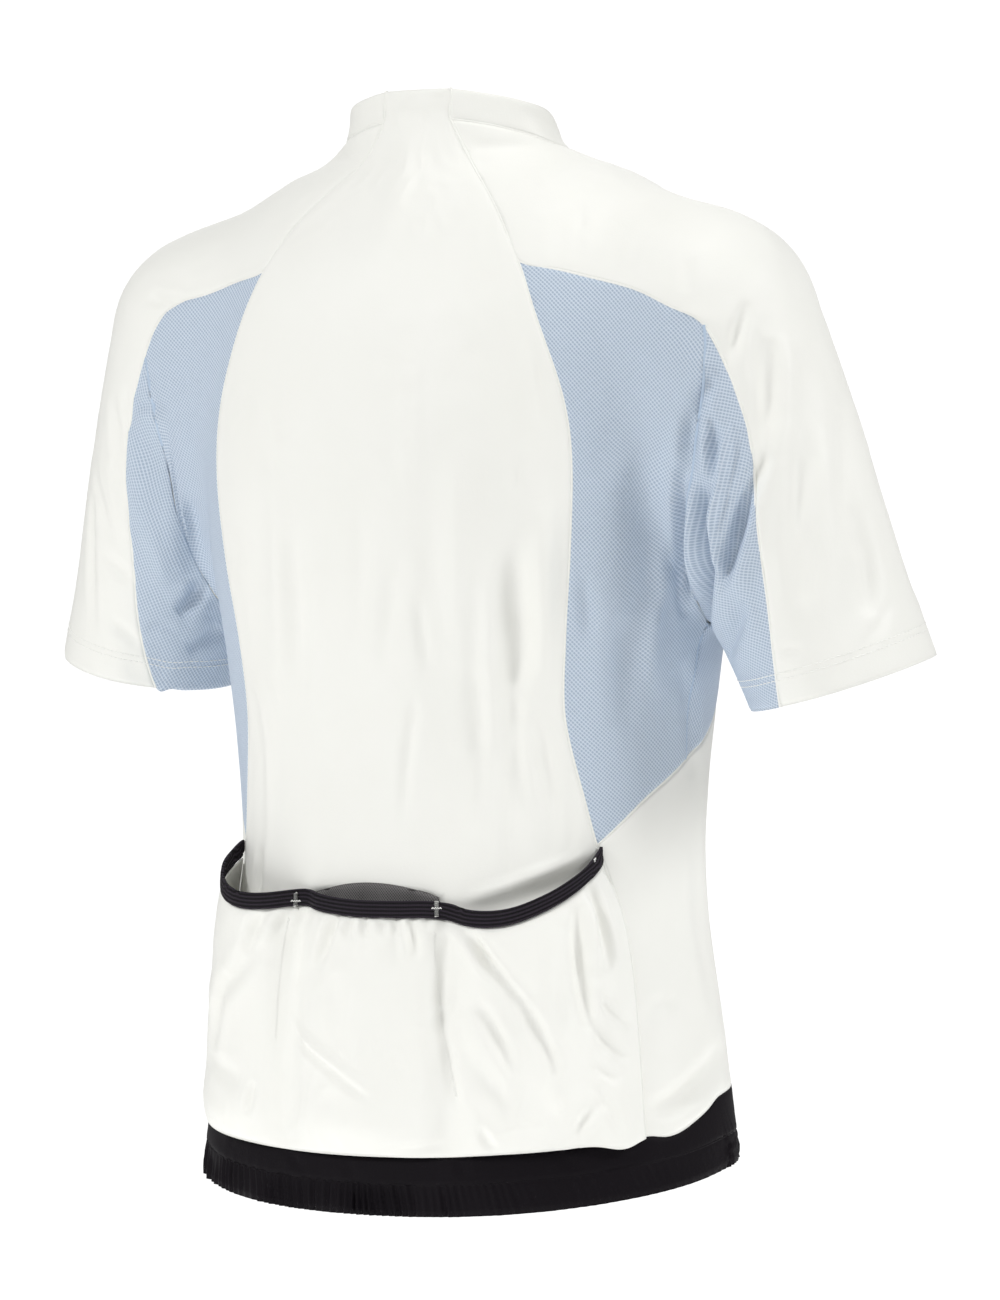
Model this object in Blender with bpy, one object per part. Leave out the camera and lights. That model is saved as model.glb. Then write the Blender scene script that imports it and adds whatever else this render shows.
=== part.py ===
# Short-sleeved cycling jersey, filled out as if worn. Metres, +Z up, front faces -Y,
# the wearer's left is +X. The origin is the middle of the neck, where a wearer holds it up.
import math

import bmesh
import bpy
import numpy as np

# Cloth and seams
WALL = 0.0014           # thickness of a cloth wall
SEAM_GAP = 0.0003       # space between two pieces along a seam
LIFT = 0.0006           # space under a piece that lies on another
TURN_ROOM = 12          # how much wider a seam is where the cloth turns sharply along it

# Torso sections. Columns: height, half width, depth behind the axis, depth in front of it, squareness.
TORSO = (
    (0.060, 0.150, 0.070, 0.050, 2.60),
    (0.000, 0.172, 0.100, 0.085, 2.60),
    (-0.050, 0.174, 0.114, 0.106, 2.60),
    (-0.100, 0.173, 0.124, 0.116, 2.60),
    (-0.210, 0.172, 0.133, 0.120, 2.60),
    (-0.260, 0.171, 0.128, 0.118, 2.50),
    (-0.320, 0.165, 0.122, 0.110, 2.30),
    (-0.400, 0.158, 0.118, 0.103, 2.15),
    (-0.440, 0.157, 0.120, 0.101, 2.05),
    (-0.480, 0.159, 0.122, 0.100, 2.05),
    (-0.550, 0.170, 0.126, 0.098, 2.10),
    (-0.650, 0.182, 0.130, 0.098, 2.20),
    (-0.760, 0.184, 0.130, 0.098, 2.20),
)
# Shoulder line. Columns: distance from the middle, height.
SHOULDER = ((0.000, 0.014), (0.086, -0.008), (0.139, -0.022), (0.173, -0.035), (0.205, -0.054), (0.260, -0.090))
SHOULDER_Y = 0.025      # the shoulder line lies this far behind the torso's axis
SHOULDER_ROUND = 0.14   # radius of the shoulder from front to back
SHOULDER_BLEND = 0.08   # how softly the shoulder turns into the chest and back
ROOF_SLOPE = 0.95       # turns height above the shoulder into distance from it
NECK_DIP = 0.045        # how far the neck's root is lower in front
NECK_DIP_WIDTH = 0.070
NECK_DIP_REACH = 0.060  # it grows over this distance in front of the shoulder line
# Neck sections. Columns: height, half width, centre behind the axis, depth behind, depth in front.
NECK = (
    (0.060, 0.067, 0.030, 0.043, 0.054),
    (0.020, 0.070, 0.030, 0.045, 0.058),
    (-0.080, 0.076, 0.022, 0.053, 0.066),
)
NECK_BLEND = 0.018
# Sleeve tube: its axis, and its sections. Columns: distance down the sleeve, radius.
SLEEVE_TOP = np.array((0.177, 0.022, -0.118))
SLEEVE_END = np.array((0.2510, -0.011, -0.325))
SLEEVE = ((0.00, 0.072), (0.10, 0.068), (0.17, 0.0628), (0.26, 0.0595), (0.36, 0.0580))
# Where each cuff is, down the sleeve: on its outer line, at the back, on its inner line and in front
CUFF = {1: (0.2330, 0.2270, 0.2205, 0.2270), -1: (0.2440, 0.2425, 0.2330, 0.2370)}
ARMPIT_BLEND = 0.020    # how softly sleeve and torso meet at the armpit
SHOULDER_CAP_BLEND = 0.040      # and how softly at the top of the shoulder
ARMPIT_TOP = -0.26      # the one blend turns into the other between these heights
CAP_FOOT = -0.16
SEAM_ANGLE = 121        # the sleeve's seams reach the cuff this far round from its outer line
SLEEVE_TURN = {1: 6, -1: -11}   # degrees that the left and right sleeves are twisted, as they hang

# Hem: the black band and the gathered elastic casing below it
# Height of the line between band and casing. Columns: distance behind the axis, height.
BAND_LINE = ((-0.100, -0.618), (-0.050, -0.619), (0.000, -0.6235), (0.030, -0.6290), (0.064, -0.6355),
             (0.099, -0.6430), (0.130, -0.6505))
CASING = 0.0195
GATHERS = 64            # small gathers of the casing across the back
GATHER_DEPTH = 0.0011
GATHER_END_Y = 0.015    # they fade out at the sides
GATHER_FADE = 0.030
# The casing's rows. Columns: share of the way down, share of the gathers' depth.
CASING_ROWS = ((0.00, 0.2), (0.25, 1.0), (1.00, 0.8))
NARROWEST = 0.001       # of the casing's faces

# Pockets
BINDING = 0.0105        # height of the elastic binding
BINDING_THICK = 0.0024
# How far the pocket panel stands off the back. Columns: share of the way down, left, middle and right pocket.
POCKET_STAND = (
    (0.00, 0.0210, 0.0080, 0.0140),
    (0.15, 0.0200, 0.0100, 0.0150),
    (0.45, 0.0160, 0.0110, 0.0140),
    (0.75, 0.0115, 0.0095, 0.0110),
    (0.93, 0.0085, 0.0080, 0.0090),
    (1.00, 0.0030, 0.0030, 0.0034),
)
# Folds of the pocket cloth. Columns: start and end as shares across and down, height, half width.
POCKET_FOLDS = (
    (0.35, 0.05, 0.10, 0.60, 0.0016, 0.016),
    (0.66, 0.05, 0.90, 0.60, 0.0020, 0.016),
    (0.70, 0.10, 0.86, 0.80, -0.0022, 0.016),
    (0.50, 0.10, 0.42, 0.70, 0.0016, 0.016),
    (0.55, 0.30, 0.60, 0.85, -0.0018, 0.016),
    (0.20, 0.30, 0.28, 0.85, -0.0018, 0.016),
    (0.93, 0.10, 0.88, 0.55, -0.0024, 0.008),
)
POCKET_FULL = 0.7       # lower makes each pocket fuller near its sides
POCKET_EDGE = 0.05      # share of the panel's width over which it comes down to its side seam
POCKET_WIDTH = 0.34
POCKET_DEPTH = 0.15

# Neck zip
ZIP_HALF = 0.006        # half width of the strip that shows between the two fronts
SLIDER = (0.0090, 0.0026, 0.0100)   # width, depth, height
EAR = 0.0013            # the slider's two ears hold the pull tab's head
EAR_RISE = 0.0034
EAR_HALF = 0.0015
EAR_ROOT = 0.0010       # how deep the ears are sunk in the slider
SLIDER_EDGE = 0.0006
AXIS_RISE = 0.0020      # the tab's axis above the slider's face
TAB = (0.0062, 0.0014, 0.0240)      # width, thickness, length
TAB_HEAD = 0.0036
HEAD_ABOVE = 0.0010
HEAD_BELOW = 0.0028
TAB_LEAN = 19           # degrees from hanging straight down, as it lies on the chest

# Rows and columns of cloth on each stretch of seam
COLS_BACK = 12
COLS_SIDE = 6
COLS_FRONT = 6
COLS_SHOULDER = 5
ROWS_COLLAR = 2
ROWS_NECK = 5
ROWS_ARMHOLE = 8
ROWS_SIDE_SEAM = 5
ROWS_SLEEVE = 9
ROWS_LOW = 8
ROWS_BAND = 2
COLS_POCKET = 24
ROWS_POCKET = 9

WHITE = (0.90, 0.90, 0.88)
BLUE = (0.40, 0.52, 0.72)
BLACK = (0.010, 0.008, 0.012)
GREY = (0.25, 0.25, 0.26)
METAL = (0.55, 0.55, 0.57)


LONGEST_STEP = 0.015    # of the search for the skin
CLOSE_ENOUGH = 1e-7
SLOPE_STEP = 5e-4
TRIES = 30
SHARPEST_CORNER = 0.35  # limits how far a corner of a panel is drawn in


def between(rows, at, column):
    """A smooth curve through one column of a table whose first column is the place."""
    rows = sorted(rows)
    place = np.array([row[0] for row in rows])
    value = np.array([row[column] for row in rows])
    slope = np.gradient(value, place)
    at = np.clip(at, place[0], place[-1])
    i = np.clip(np.searchsorted(place, at) - 1, 0, len(place) - 2)
    step = place[i + 1] - place[i]
    s = (at - place[i]) / step
    start = (2 * s**3 - 3 * s**2 + 1) * value[i] + (s**3 - 2 * s**2 + s) * step * slope[i]
    end = (3 * s**2 - 2 * s**3) * value[i + 1] + (s**3 - s**2) * step * slope[i + 1]
    return start + end


def soft_min(a, b, reach):
    near = np.clip(reach - np.abs(a - b), 0, None) / reach
    return np.minimum(a, b) - near**2 * reach / 4


def ease(x):
    x = np.clip(x, 0, 1)
    return x * x * (3 - 2 * x)


def outside_oval(x, y, half_width, depth, power):
    """Distance outside an oval section, measured along the ray from its middle."""
    ray = np.hypot(x, y) + 1e-9
    scale = ((np.abs(x) / half_width)**power + (np.abs(y) / depth)**power)**(1 / power) + 1e-9
    return ray * (1 - 1 / scale)


def unit(v):
    return v / np.linalg.norm(v, axis=-1, keepdims=True)


SLEEVE_AXIS = unit(SLEEVE_END - SLEEVE_TOP)
SLEEVE_OUT = unit(np.array((-SLEEVE_AXIS[2], 0, SLEEVE_AXIS[0])))
SLEEVE_BACK = np.cross(SLEEVE_OUT, SLEEVE_AXIS)


def sleeve_point(down, degrees):
    """A point on the sleeve: so far down it, and so far round it from its outer line to the back."""
    angle = np.radians(degrees)
    radius = between(SLEEVE, down, 1)
    round_it = math.cos(angle) * SLEEVE_OUT + math.sin(angle) * SLEEVE_BACK
    return SLEEVE_TOP + down * SLEEVE_AXIS + radius * round_it


def cuff_point(degrees, side):
    outer, behind, inner, front = CUFF[side]
    angle = math.radians(degrees)
    down = ((outer + behind + inner + front) / 4 + (outer - inner) / 2 * math.cos(angle)
            + (behind - front) / 2 * math.sin(angle)
            + (outer + inner - behind - front) / 4 * math.cos(2 * angle))
    return sleeve_point(down, degrees + SLEEVE_TURN[side])


def skin(p):
    """Signed distance, roughly, from the form that the cloth follows."""
    x, y, z = np.abs(p[..., 0]), p[..., 1], p[..., 2]
    depth = np.where(y > 0, between(TORSO, z, 2), between(TORSO, z, 3))
    body = outside_oval(x, y, between(TORSO, z, 1), depth, between(TORSO, z, 4))
    dip = NECK_DIP * np.exp(-(x / NECK_DIP_WIDTH)**2) * np.clip((SHOULDER_Y - y) / NECK_DIP_REACH, 0, 1)**2
    roof = z - between(SHOULDER, x, 1) + (y - SHOULDER_Y)**2 / (2 * SHOULDER_ROUND) + dip
    body = -soft_min(-body, -ROOF_SLOPE * roof, SHOULDER_BLEND)
    neck_y = y - between(NECK, z, 2)
    neck_depth = np.where(neck_y > 0, between(NECK, z, 3), between(NECK, z, 4))
    neck = outside_oval(x, neck_y, between(NECK, z, 1), neck_depth, 2)
    body = soft_min(body, neck, NECK_BLEND)
    offset = np.stack((x, y, z), -1) - SLEEVE_TOP
    down = np.maximum(offset @ SLEEVE_AXIS, 0)
    sleeve = np.linalg.norm(offset - down[..., None] * SLEEVE_AXIS, axis=-1) - between(SLEEVE, down, 1)
    up = ease((z - ARMPIT_TOP) / (CAP_FOOT - ARMPIT_TOP))
    reach = ARMPIT_BLEND + (SHOULDER_CAP_BLEND - ARMPIT_BLEND) * up
    return soft_min(body, sleeve, reach)


def slope_of_skin(p):
    steps = SLOPE_STEP * np.eye(3)
    return np.stack([skin(p + step) - skin(p - step) for step in steps], -1) / (2 * SLOPE_STEP)


def onto_skin(p):
    p = np.array(p, float)
    for _ in range(TRIES):
        slope = slope_of_skin(p)
        size = np.sum(slope**2, -1, keepdims=True) + 1e-6
        move = -skin(p)[..., None] * slope / size
        length = np.linalg.norm(move, axis=-1, keepdims=True)
        p = p + move * np.minimum(1, LONGEST_STEP / (length + 1e-12))
        if length.max() < CLOSE_ENOUGH:
            break
    return p


# Where seams meet, on the wearer's left (x, y, z)
NECK_TOP = (0.026, 0.079, 0.032)          # collar's top edge at the back seam
NECK_ROOT = (0.026, 0.079, 0.013)         # collar's root there
NECK_SIDE = (0.077, 0.031, -0.002)
NECK_SIDE_TOP = (0.069, 0.031, 0.020)
NECK_FRONT = (0.045, -0.022, -0.030)      # front raglan seam at the collar
ZIP_ROOT = (ZIP_HALF, -0.037, -0.043)     # zip at the collar's root
ZIP_TOP = (ZIP_HALF, -0.031, -0.020)
YOKE_BACK = (0.093, 0.106, -0.081)        # back, raglan and side panel meet
YOKE_FRONT = (0.093, -0.098, -0.090)
ARMPIT = (0.1725, 0.002, -0.2985)
TAIL = (0.1305, 0.0725, -0.4405)          # lower tip of the blue side panel behind
SIDE_LOW = (0.158, 0.009, -0.388)         # foot of the side seam
SIDE_FRONT_LOW = (0.128, -0.083, -0.318)
ZIP_END = (ZIP_HALF, -0.111, -0.335)
DIVIDER = (0.047, 0.115, -0.4740)
HEM_BACK = (0.157, 0.064, -0.620)         # foot of the pocket's side seam
HEM_SIDE = (0.180, 0.004, -0.598)
HEM_FRONT = (0.145, -0.060, -0.590)
HEM_ZIP = (ZIP_HALF, -0.098, -0.588)

MOUTH_END = (0.1325, 0.0715, -0.4525)     # lower edge of the binding, at the side
# Lower edge of the binding as it sags, from the left side to the right. Columns: x, y, height.
MOUTH = (
    MOUTH_END, (0.121, 0.080, -0.4650), (0.104, 0.092, -0.4780), (0.084, 0.102, -0.4840),
    (0.065, 0.110, -0.4830), (0.050, 0.114, -0.4800), (0.024, 0.119, -0.4840), (0.000, 0.120, -0.4860),
    (-0.024, 0.119, -0.4860), (-0.048, 0.115, -0.4860), (-0.066, 0.110, -0.4905),
    (-0.085, 0.102, -0.4910), (-0.104, 0.092, -0.4820), (-0.121, 0.080, -0.4670),
    (-MOUTH_END[0],) + MOUTH_END[1:],
)
DIVIDER_SHIFT = 0.005   # the middle pocket lies this far to the wearer's left

# Seams and the lines inside a panel, each a smooth curve through these points
LINES = {
    "collar_back": (NECK_TOP, NECK_ROOT),
    "collar_root_back": (NECK_ROOT, (0.046, 0.070, 0.010), (0.066, 0.053, 0.005), NECK_SIDE),
    "collar_root_front": (NECK_SIDE, (0.074, 0.006, -0.012), (0.063, -0.010, -0.021), NECK_FRONT),
    "collar_root_zip": (NECK_FRONT, (0.026, -0.033, -0.039), ZIP_ROOT),
    "collar_top_back": (NECK_TOP, (0.045, 0.070, 0.029), (0.062, 0.053, 0.025), NECK_SIDE_TOP),
    "collar_top_front": (NECK_SIDE_TOP, (0.067, 0.004, 0.009), (0.055, -0.012, 0.000), (0.040, -0.022, -0.010)),
    "collar_top_zip": ((0.040, -0.022, -0.010), (0.022, -0.029, -0.018), ZIP_TOP),
    "collar_front": (ZIP_TOP, ZIP_ROOT),
    "raglan_back": (NECK_ROOT, (0.032, 0.078, 0.003), (0.044, 0.081, -0.014), (0.068, 0.094, -0.043),
                    YOKE_BACK),
    "raglan_front": (NECK_FRONT, (0.062, -0.050, -0.045), (0.079, -0.080, -0.066), YOKE_FRONT),
    "princess_back": (YOKE_BACK, (0.110, 0.107, -0.126), (0.120, 0.104, -0.156), (0.1255, 0.100, -0.195),
                      (0.1245, 0.098, -0.252), (0.118, 0.093, -0.318), (0.1145, 0.087, -0.362),
                      (0.120, 0.081, -0.395), TAIL),
    "princess_front": (YOKE_FRONT, (0.112, -0.104, -0.140), (0.124, -0.101, -0.195), (0.128, -0.096, -0.255),
                       SIDE_FRONT_LOW),
    "side_seam": (ARMPIT, (0.164, 0.006, -0.320), (0.160, 0.009, -0.352), SIDE_LOW),
    "tail_back": (TAIL, (0.1400, 0.0600, -0.4275), (0.149, 0.046, -0.413), (0.156, 0.028, -0.400), SIDE_LOW),
    "tail_front": (SIDE_LOW, (0.158, -0.018, -0.372), (0.152, -0.045, -0.352), SIDE_FRONT_LOW),
    "pocket_side": (TAIL, (0.142, 0.063, -0.478), (0.149, 0.061, -0.510), (0.153, 0.062, -0.550), HEM_BACK),
    "pocket_edge": (MOUTH_END, (0.142, 0.063, -0.478), (0.149, 0.061, -0.510), (0.153, 0.062, -0.550),
                    HEM_BACK),
    "side_low": (SIDE_LOW, (0.164, 0.006, -0.490), HEM_SIDE),
    "front_low": (SIDE_FRONT_LOW, (0.133, -0.070, -0.450), HEM_FRONT),
    "zip_neck": (ZIP_ROOT, (ZIP_HALF, -0.064, -0.075), (ZIP_HALF, -0.088, -0.100)),
    "zip_chest": ((ZIP_HALF, -0.088, -0.100), (ZIP_HALF, -0.112, -0.150), (ZIP_HALF, -0.120, -0.220), ZIP_END),
    "zip_low": (ZIP_END, (ZIP_HALF, -0.100, -0.450), HEM_ZIP),
    "chest": ((ZIP_HALF, -0.088, -0.100), (0.050, -0.098, -0.098), YOKE_FRONT),
    "belly": (ZIP_END, (0.066, -0.107, -0.330), SIDE_FRONT_LOW),
    "waist_side": (TAIL, (0.115, 0.085, -0.4540), (0.092, 0.098, -0.4640), (0.066, 0.109, -0.4725), DIVIDER),
    "waist_middle": (DIVIDER, (0.030, 0.117, -0.4700), (0.000, 0.120, -0.4670),
                     (-0.030, 0.117, -0.4700), (-DIVIDER[0],) + DIVIDER[1:]),
    "hem_back": (HEM_BACK, (0.120, 0.099, -0.6270), (0.060, 0.123, -0.6320), (0.0, 0.130, -0.6335),
                 (-0.060, 0.123, -0.6320), (-0.120, 0.099, -0.6270), (-HEM_BACK[0],) + HEM_BACK[1:]),
    "hem_side": (HEM_BACK, (0.170, 0.048, -0.6195), (0.177, 0.027, -0.6100), HEM_SIDE),
    "hem_turn": (HEM_SIDE, (0.172, -0.034, -0.5930), HEM_FRONT),
    "hem_front": (HEM_FRONT, (0.080, -0.089, -0.5880), HEM_ZIP),
}

# Seams down the sleeve and round the armhole behind, and the same in front with the angle the other way.
# Columns: distance down the sleeve, degrees round it from its outer line.
SLEEVE_SEAM = ((0.006, 76), (0.045, 73), (0.090, 77), (0.124, 87), (0.188, 104))
ARMHOLE = ((0.006, 76), (0.038, 87), (0.066, 100), (0.098, 114), (0.126, 130))
TWIST_FADE = 40         # the armhole's twist fades out over so many degrees before its foot


def sleeve_lines(side):
    """The lines of one sleeve, which is twisted a little."""
    turn = SLEEVE_TURN[side]

    def down(rows, way):
        return tuple(sleeve_point(along, way * angle + turn) for along, angle in rows)

    def hole(way):
        untwist = ARMHOLE[-1][1]
        return tuple(sleeve_point(along, way * angle + turn * min(1, (untwist - angle) / TWIST_FADE))
                     for along, angle in ARMHOLE)

    return {
        "yoke_back": (YOKE_BACK, (0.122, 0.100, -0.087), (0.151, 0.092, -0.0955), (0.174, 0.091, -0.1030),
                      down(SLEEVE_SEAM, 1)[0]),
        "yoke_front": (YOKE_FRONT, (0.120, -0.098, -0.096), (0.148, -0.086, -0.100), (0.173, -0.068, -0.104),
                       down(SLEEVE_SEAM, -1)[0]),
        "shoulder": (NECK_SIDE, (0.110, 0.027, -0.013), (0.150, 0.024, -0.026), (0.190, 0.021, -0.045),
                     (0.226, 0.018, -0.068), sleeve_point(0.015, 8), sleeve_point(0.07, 3 + turn / 2),
                     sleeve_point(0.15, turn), cuff_point(0, side)),
        "sleeve_back": down(SLEEVE_SEAM, 1) + (cuff_point(SEAM_ANGLE, side),),
        "sleeve_front": down(SLEEVE_SEAM, -1) + (cuff_point(-SEAM_ANGLE, side),),
        "armhole_back": hole(1) + ((0.1775, 0.030, -0.284), ARMPIT),
        "armhole_front": (ARMPIT, (0.1775, -0.024, -0.284)) + hole(-1)[::-1],
        "under_sleeve": (ARMPIT, (0.186, -0.003, -0.308), (0.196, -0.009, -0.325), cuff_point(180, side)),
    }


# Larger folds of the filled-out cloth. Columns: start, middle, end, height (+ ridge, - trough), half width.
FOLDS = (
    ((-0.196, 0.080, -0.215), (-0.176, 0.080, -0.270), (-0.160, 0.062, -0.330), -0.0050, 0.011),
    ((-0.165, 0.085, -0.190), (-0.150, 0.090, -0.260), (-0.148, 0.078, -0.330), 0.0030, 0.013),
    ((-0.222, 0.080, -0.147), (-0.205, 0.084, -0.180), (-0.200, 0.080, -0.215), -0.0030, 0.009),
    ((-0.240, 0.068, -0.205), (-0.222, 0.066, -0.250), (-0.212, 0.050, -0.290), -0.0030, 0.010),
    ((-0.232, 0.074, -0.180), (-0.216, 0.074, -0.230), (-0.205, 0.055, -0.275), 0.0022, 0.010),
    ((0.205, 0.085, -0.160), (0.192, 0.078, -0.200), (0.172, 0.080, -0.215), -0.0028, 0.010),
    ((0.196, 0.070, -0.290), (0.206, 0.058, -0.318), (0.222, 0.040, -0.345), -0.0028, 0.010),
    ((0.212, 0.076, -0.215), (0.196, 0.070, -0.262), (0.190, 0.055, -0.300), 0.0022, 0.010),
    ((-0.228, 0.060, -0.100), (-0.215, 0.076, -0.125), (-0.200, 0.086, -0.150), 0.0020, 0.012),
    ((0.040, 0.120, -0.150), (0.034, 0.122, -0.300), (0.050, 0.115, -0.430), -0.0012, 0.014),
    ((-0.030, 0.120, -0.180), (-0.052, 0.120, -0.300), (-0.060, 0.112, -0.420), -0.0012, 0.014),
    ((0.085, 0.105, -0.200), (0.092, 0.104, -0.300), (0.090, 0.100, -0.400), 0.0012, 0.014),
    ((0.150, -0.075, -0.200), (0.120, -0.095, -0.260), (0.090, -0.105, -0.330), -0.0022, 0.013),
    ((-0.150, -0.075, -0.215), (-0.122, -0.092, -0.265), (-0.095, -0.104, -0.320), -0.0026, 0.014),
    ((0.060, -0.105, -0.340), (0.085, -0.098, -0.420), (0.100, -0.088, -0.500), -0.0020, 0.014),
    ((-0.050, -0.106, -0.350), (-0.070, -0.100, -0.440), (-0.105, -0.086, -0.530), -0.0022, 0.014),
    ((0.232, -0.050, -0.180), (0.215, -0.058, -0.235), (0.200, -0.058, -0.290), -0.0024, 0.011),
    ((-0.230, -0.050, -0.190), (-0.216, -0.060, -0.245), (-0.204, -0.060, -0.300), -0.0026, 0.011),
    ((-0.140, 0.062, -0.460), (-0.158, 0.030, -0.520), (-0.172, 0.030, -0.590), -0.0018, 0.014),
)


FOLD_TIP = 0.02         # share of a fold's length where it starts to rise
FOLD_SWELL = 0.7


def sampled(points, count):
    """Even steps along the smooth curve through the points."""
    p = np.array(points, float)
    if len(p) == 2:
        fine = p[0] + (p[1] - p[0]) * np.linspace(0, 1, 41)[:, None]
    else:
        ends = np.vstack((2 * p[0] - p[1], p, 2 * p[-1] - p[-2]))
        s = np.linspace(0, 1, 21)[:-1, None]
        runs = []
        for a, b, c, d in zip(ends, ends[1:], ends[2:], ends[3:]):
            runs.append(0.5 * (2 * b + (c - a) * s + (2 * a - 5 * b + 4 * c - d) * s**2
                               + (3 * b - a - 3 * c + d) * s**3))
        fine = np.vstack(runs + [p[-1:]])
    along = np.concatenate(((0,), np.cumsum(np.linalg.norm(np.diff(fine, axis=0), axis=1))))
    at = np.linspace(0, along[-1], count + 1)
    return np.stack([np.interp(at, along, fine[:, k]) for k in range(3)], -1)


LINES_OF = {side: {**LINES, **sleeve_lines(side)} for side in (1, -1)}
LAID = {}


def line(name, count, back=False, side=1):
    """A named seam in so many steps, laid on the skin; back runs it from its end."""
    if (name, count, side) not in LAID:
        LAID[name, count, side] = onto_skin(sampled(LINES_OF[side][name], count))
    return LAID[name, count, side][::-1] if back else LAID[name, count, side]


def chain(*runs):
    """Runs that follow each other, as one."""
    return np.vstack([runs[0]] + [run[1:] for run in runs[1:]])


def fill(top, bottom, left, right):
    """A grid of points between four edges, laid on the skin. Its edges stay as they are."""
    u = np.linspace(0, 1, len(top))[None, :, None]
    v = np.linspace(0, 1, len(left))[:, None, None]
    across = left[:, None] * (1 - u) + right[:, None] * u
    down = top[None] * (1 - v) + bottom[None] * v
    corners = (top[0] * (1 - u) + top[-1] * u) * (1 - v) + (bottom[0] * (1 - u) + bottom[-1] * u) * v
    grid = across + down - corners
    grid[1:-1, 1:-1] = onto_skin(grid[1:-1, 1:-1])
    return grid


def fold_height(p):
    """Height of all the folds at each point."""
    height = np.zeros(p.shape[:-1])
    t = np.linspace(0, 1, 25)
    rise = np.sin(math.pi * np.clip(t, FOLD_TIP, 1 - FOLD_TIP))**FOLD_SWELL
    for start, middle, end, tall, width in FOLDS:
        a, b, c = (np.array(k) for k in (start, middle, end))
        path = np.outer((1 - t)**2, a) + np.outer(2 * t * (1 - t), 2 * b - (a + c) / 2) + np.outer(t**2, c)
        away = np.linalg.norm(p[..., None, :] - path, axis=-1)
        height += tall * np.max(rise * np.exp(-(away / width)**2), axis=-1)
    return height


def mirrored(grid, side):
    return grid * np.array((side, 1, 1))


def material(name, colour, roughness, metallic=0.0):
    made = bpy.data.materials.new(name)
    made.use_nodes = True
    shader = made.node_tree.nodes["Principled BSDF"]
    shader.inputs["Base Color"].default_value = colour + (1,)
    shader.inputs["Roughness"].default_value = roughness
    shader.inputs["Metallic"].default_value = metallic
    return made


def add_object(name, bm, colour, roughness=0.8, metallic=0.0):
    mesh = bpy.data.meshes.new(name)
    bm.to_mesh(mesh)
    bm.free()
    mesh.materials.append(material(name, colour, roughness, metallic))
    made = bpy.data.objects.new(name, mesh)
    bpy.context.scene.collection.objects.link(made)
    return made


def wall(name, patches, colour, stands=None, thick=WALL, gap=SEAM_GAP):
    """Cloth through one or more grids of points: an outer face, an inner one and the rim between."""
    bm = bmesh.new()
    normal_of = bm.verts.layers.float_vector.new("normal")
    for k, base in enumerate(patches):
        normals = unit(slope_of_skin(base))
        stand = fold_height(base) if stands is None else stands[k]
        outer = base + normals * np.asarray(stand)[..., None]
        verts = []
        for row, row_normals in zip(outer, normals):
            verts.append([bm.verts.new(p) for p in row])
            for vert, normal in zip(verts[-1], row_normals):
                vert[normal_of] = normal
        middle = (base.shape[0] // 2, base.shape[1] // 2)
        i, j = min(middle[0], base.shape[0] - 2), min(middle[1], base.shape[1] - 2)
        turn = np.cross(outer[i, j + 1] - outer[i, j], outer[i + 1, j] - outer[i, j]) @ normals[i, j]
        for upper, lower in zip(verts, verts[1:]):
            for a, b, c, d in zip(upper, upper[1:], lower[1:], lower):
                bm.faces.new((a, b, c, d) if turn > 0 else (d, c, b, a))
    bmesh.ops.remove_doubles(bm, verts=bm.verts[:], dist=1e-6)
    for face in bm.faces:
        face.normal_update()
    draw_in_edges(bm, normal_of, gap / 2)
    rim = [edge for edge in bm.edges if edge.is_boundary]
    rim_faces = [edge.link_faces[0] for edge in rim]
    copy = bmesh.ops.duplicate(bm, geom=bm.verts[:] + bm.edges[:] + bm.faces[:])
    inner = copy["vert_map"]
    for vert in [v for v in copy["geom"] if isinstance(v, bmesh.types.BMVert)]:
        vert.co -= vert[normal_of] * thick
    bmesh.ops.reverse_faces(bm, faces=[f for f in copy["geom"] if isinstance(f, bmesh.types.BMFace)])
    for edge, face in zip(rim, rim_faces):
        a, b = edge.verts
        loop = next(one for one in face.loops if one.edge == edge)
        if loop.vert != a:
            a, b = b, a
        bm.faces.new((b, a, inner[a], inner[b]))
    return add_object(name, bm, colour)


def draw_in_edges(bm, normal_of, amount):
    """Move the open edges into the piece, so that two pieces at a seam stay apart."""
    moves, widen = {}, {}
    for edge in bm.edges:
        if not edge.is_boundary:
            continue
        a, b = edge.verts
        turning = 1 + TURN_ROOM * (1 - a[normal_of].dot(b[normal_of]))
        normal = (a[normal_of] + b[normal_of]).normalized()
        inward = normal.cross(b.co - a.co).normalized()
        if inward.dot(edge.link_faces[0].calc_center_median() - (a.co + b.co) / 2) < 0:
            inward.negate()
        for vert in edge.verts:
            moves.setdefault(vert, []).append(inward)
            widen[vert] = max(widen.get(vert, 1), turning)
    for vert, inward in moves.items():
        if len(inward) == 2:
            both = inward[0] + inward[1]
            vert.co += both * (amount * widen[vert] / max(SHARPEST_CORNER, 1 + inward[0].dot(inward[1])))


def band_line(points):
    """The line between band and casing, below the hem seam."""
    lower = points.copy()
    lower[..., 2] = between(BAND_LINE, points[..., 1], 1)
    return onto_skin_level(lower)


def onto_skin_level(points):
    """Move points out or in to the skin without changing their height."""
    p = points.copy()
    for _ in range(TRIES):
        slope = slope_of_skin(p)
        slope[..., 2] = 0
        size = np.sum(slope**2, -1, keepdims=True) + 1e-6
        move = -skin(p)[..., None] * slope / size
        p = p + move
        if np.abs(move).max() < CLOSE_ENOUGH:
            break
    return p


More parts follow.
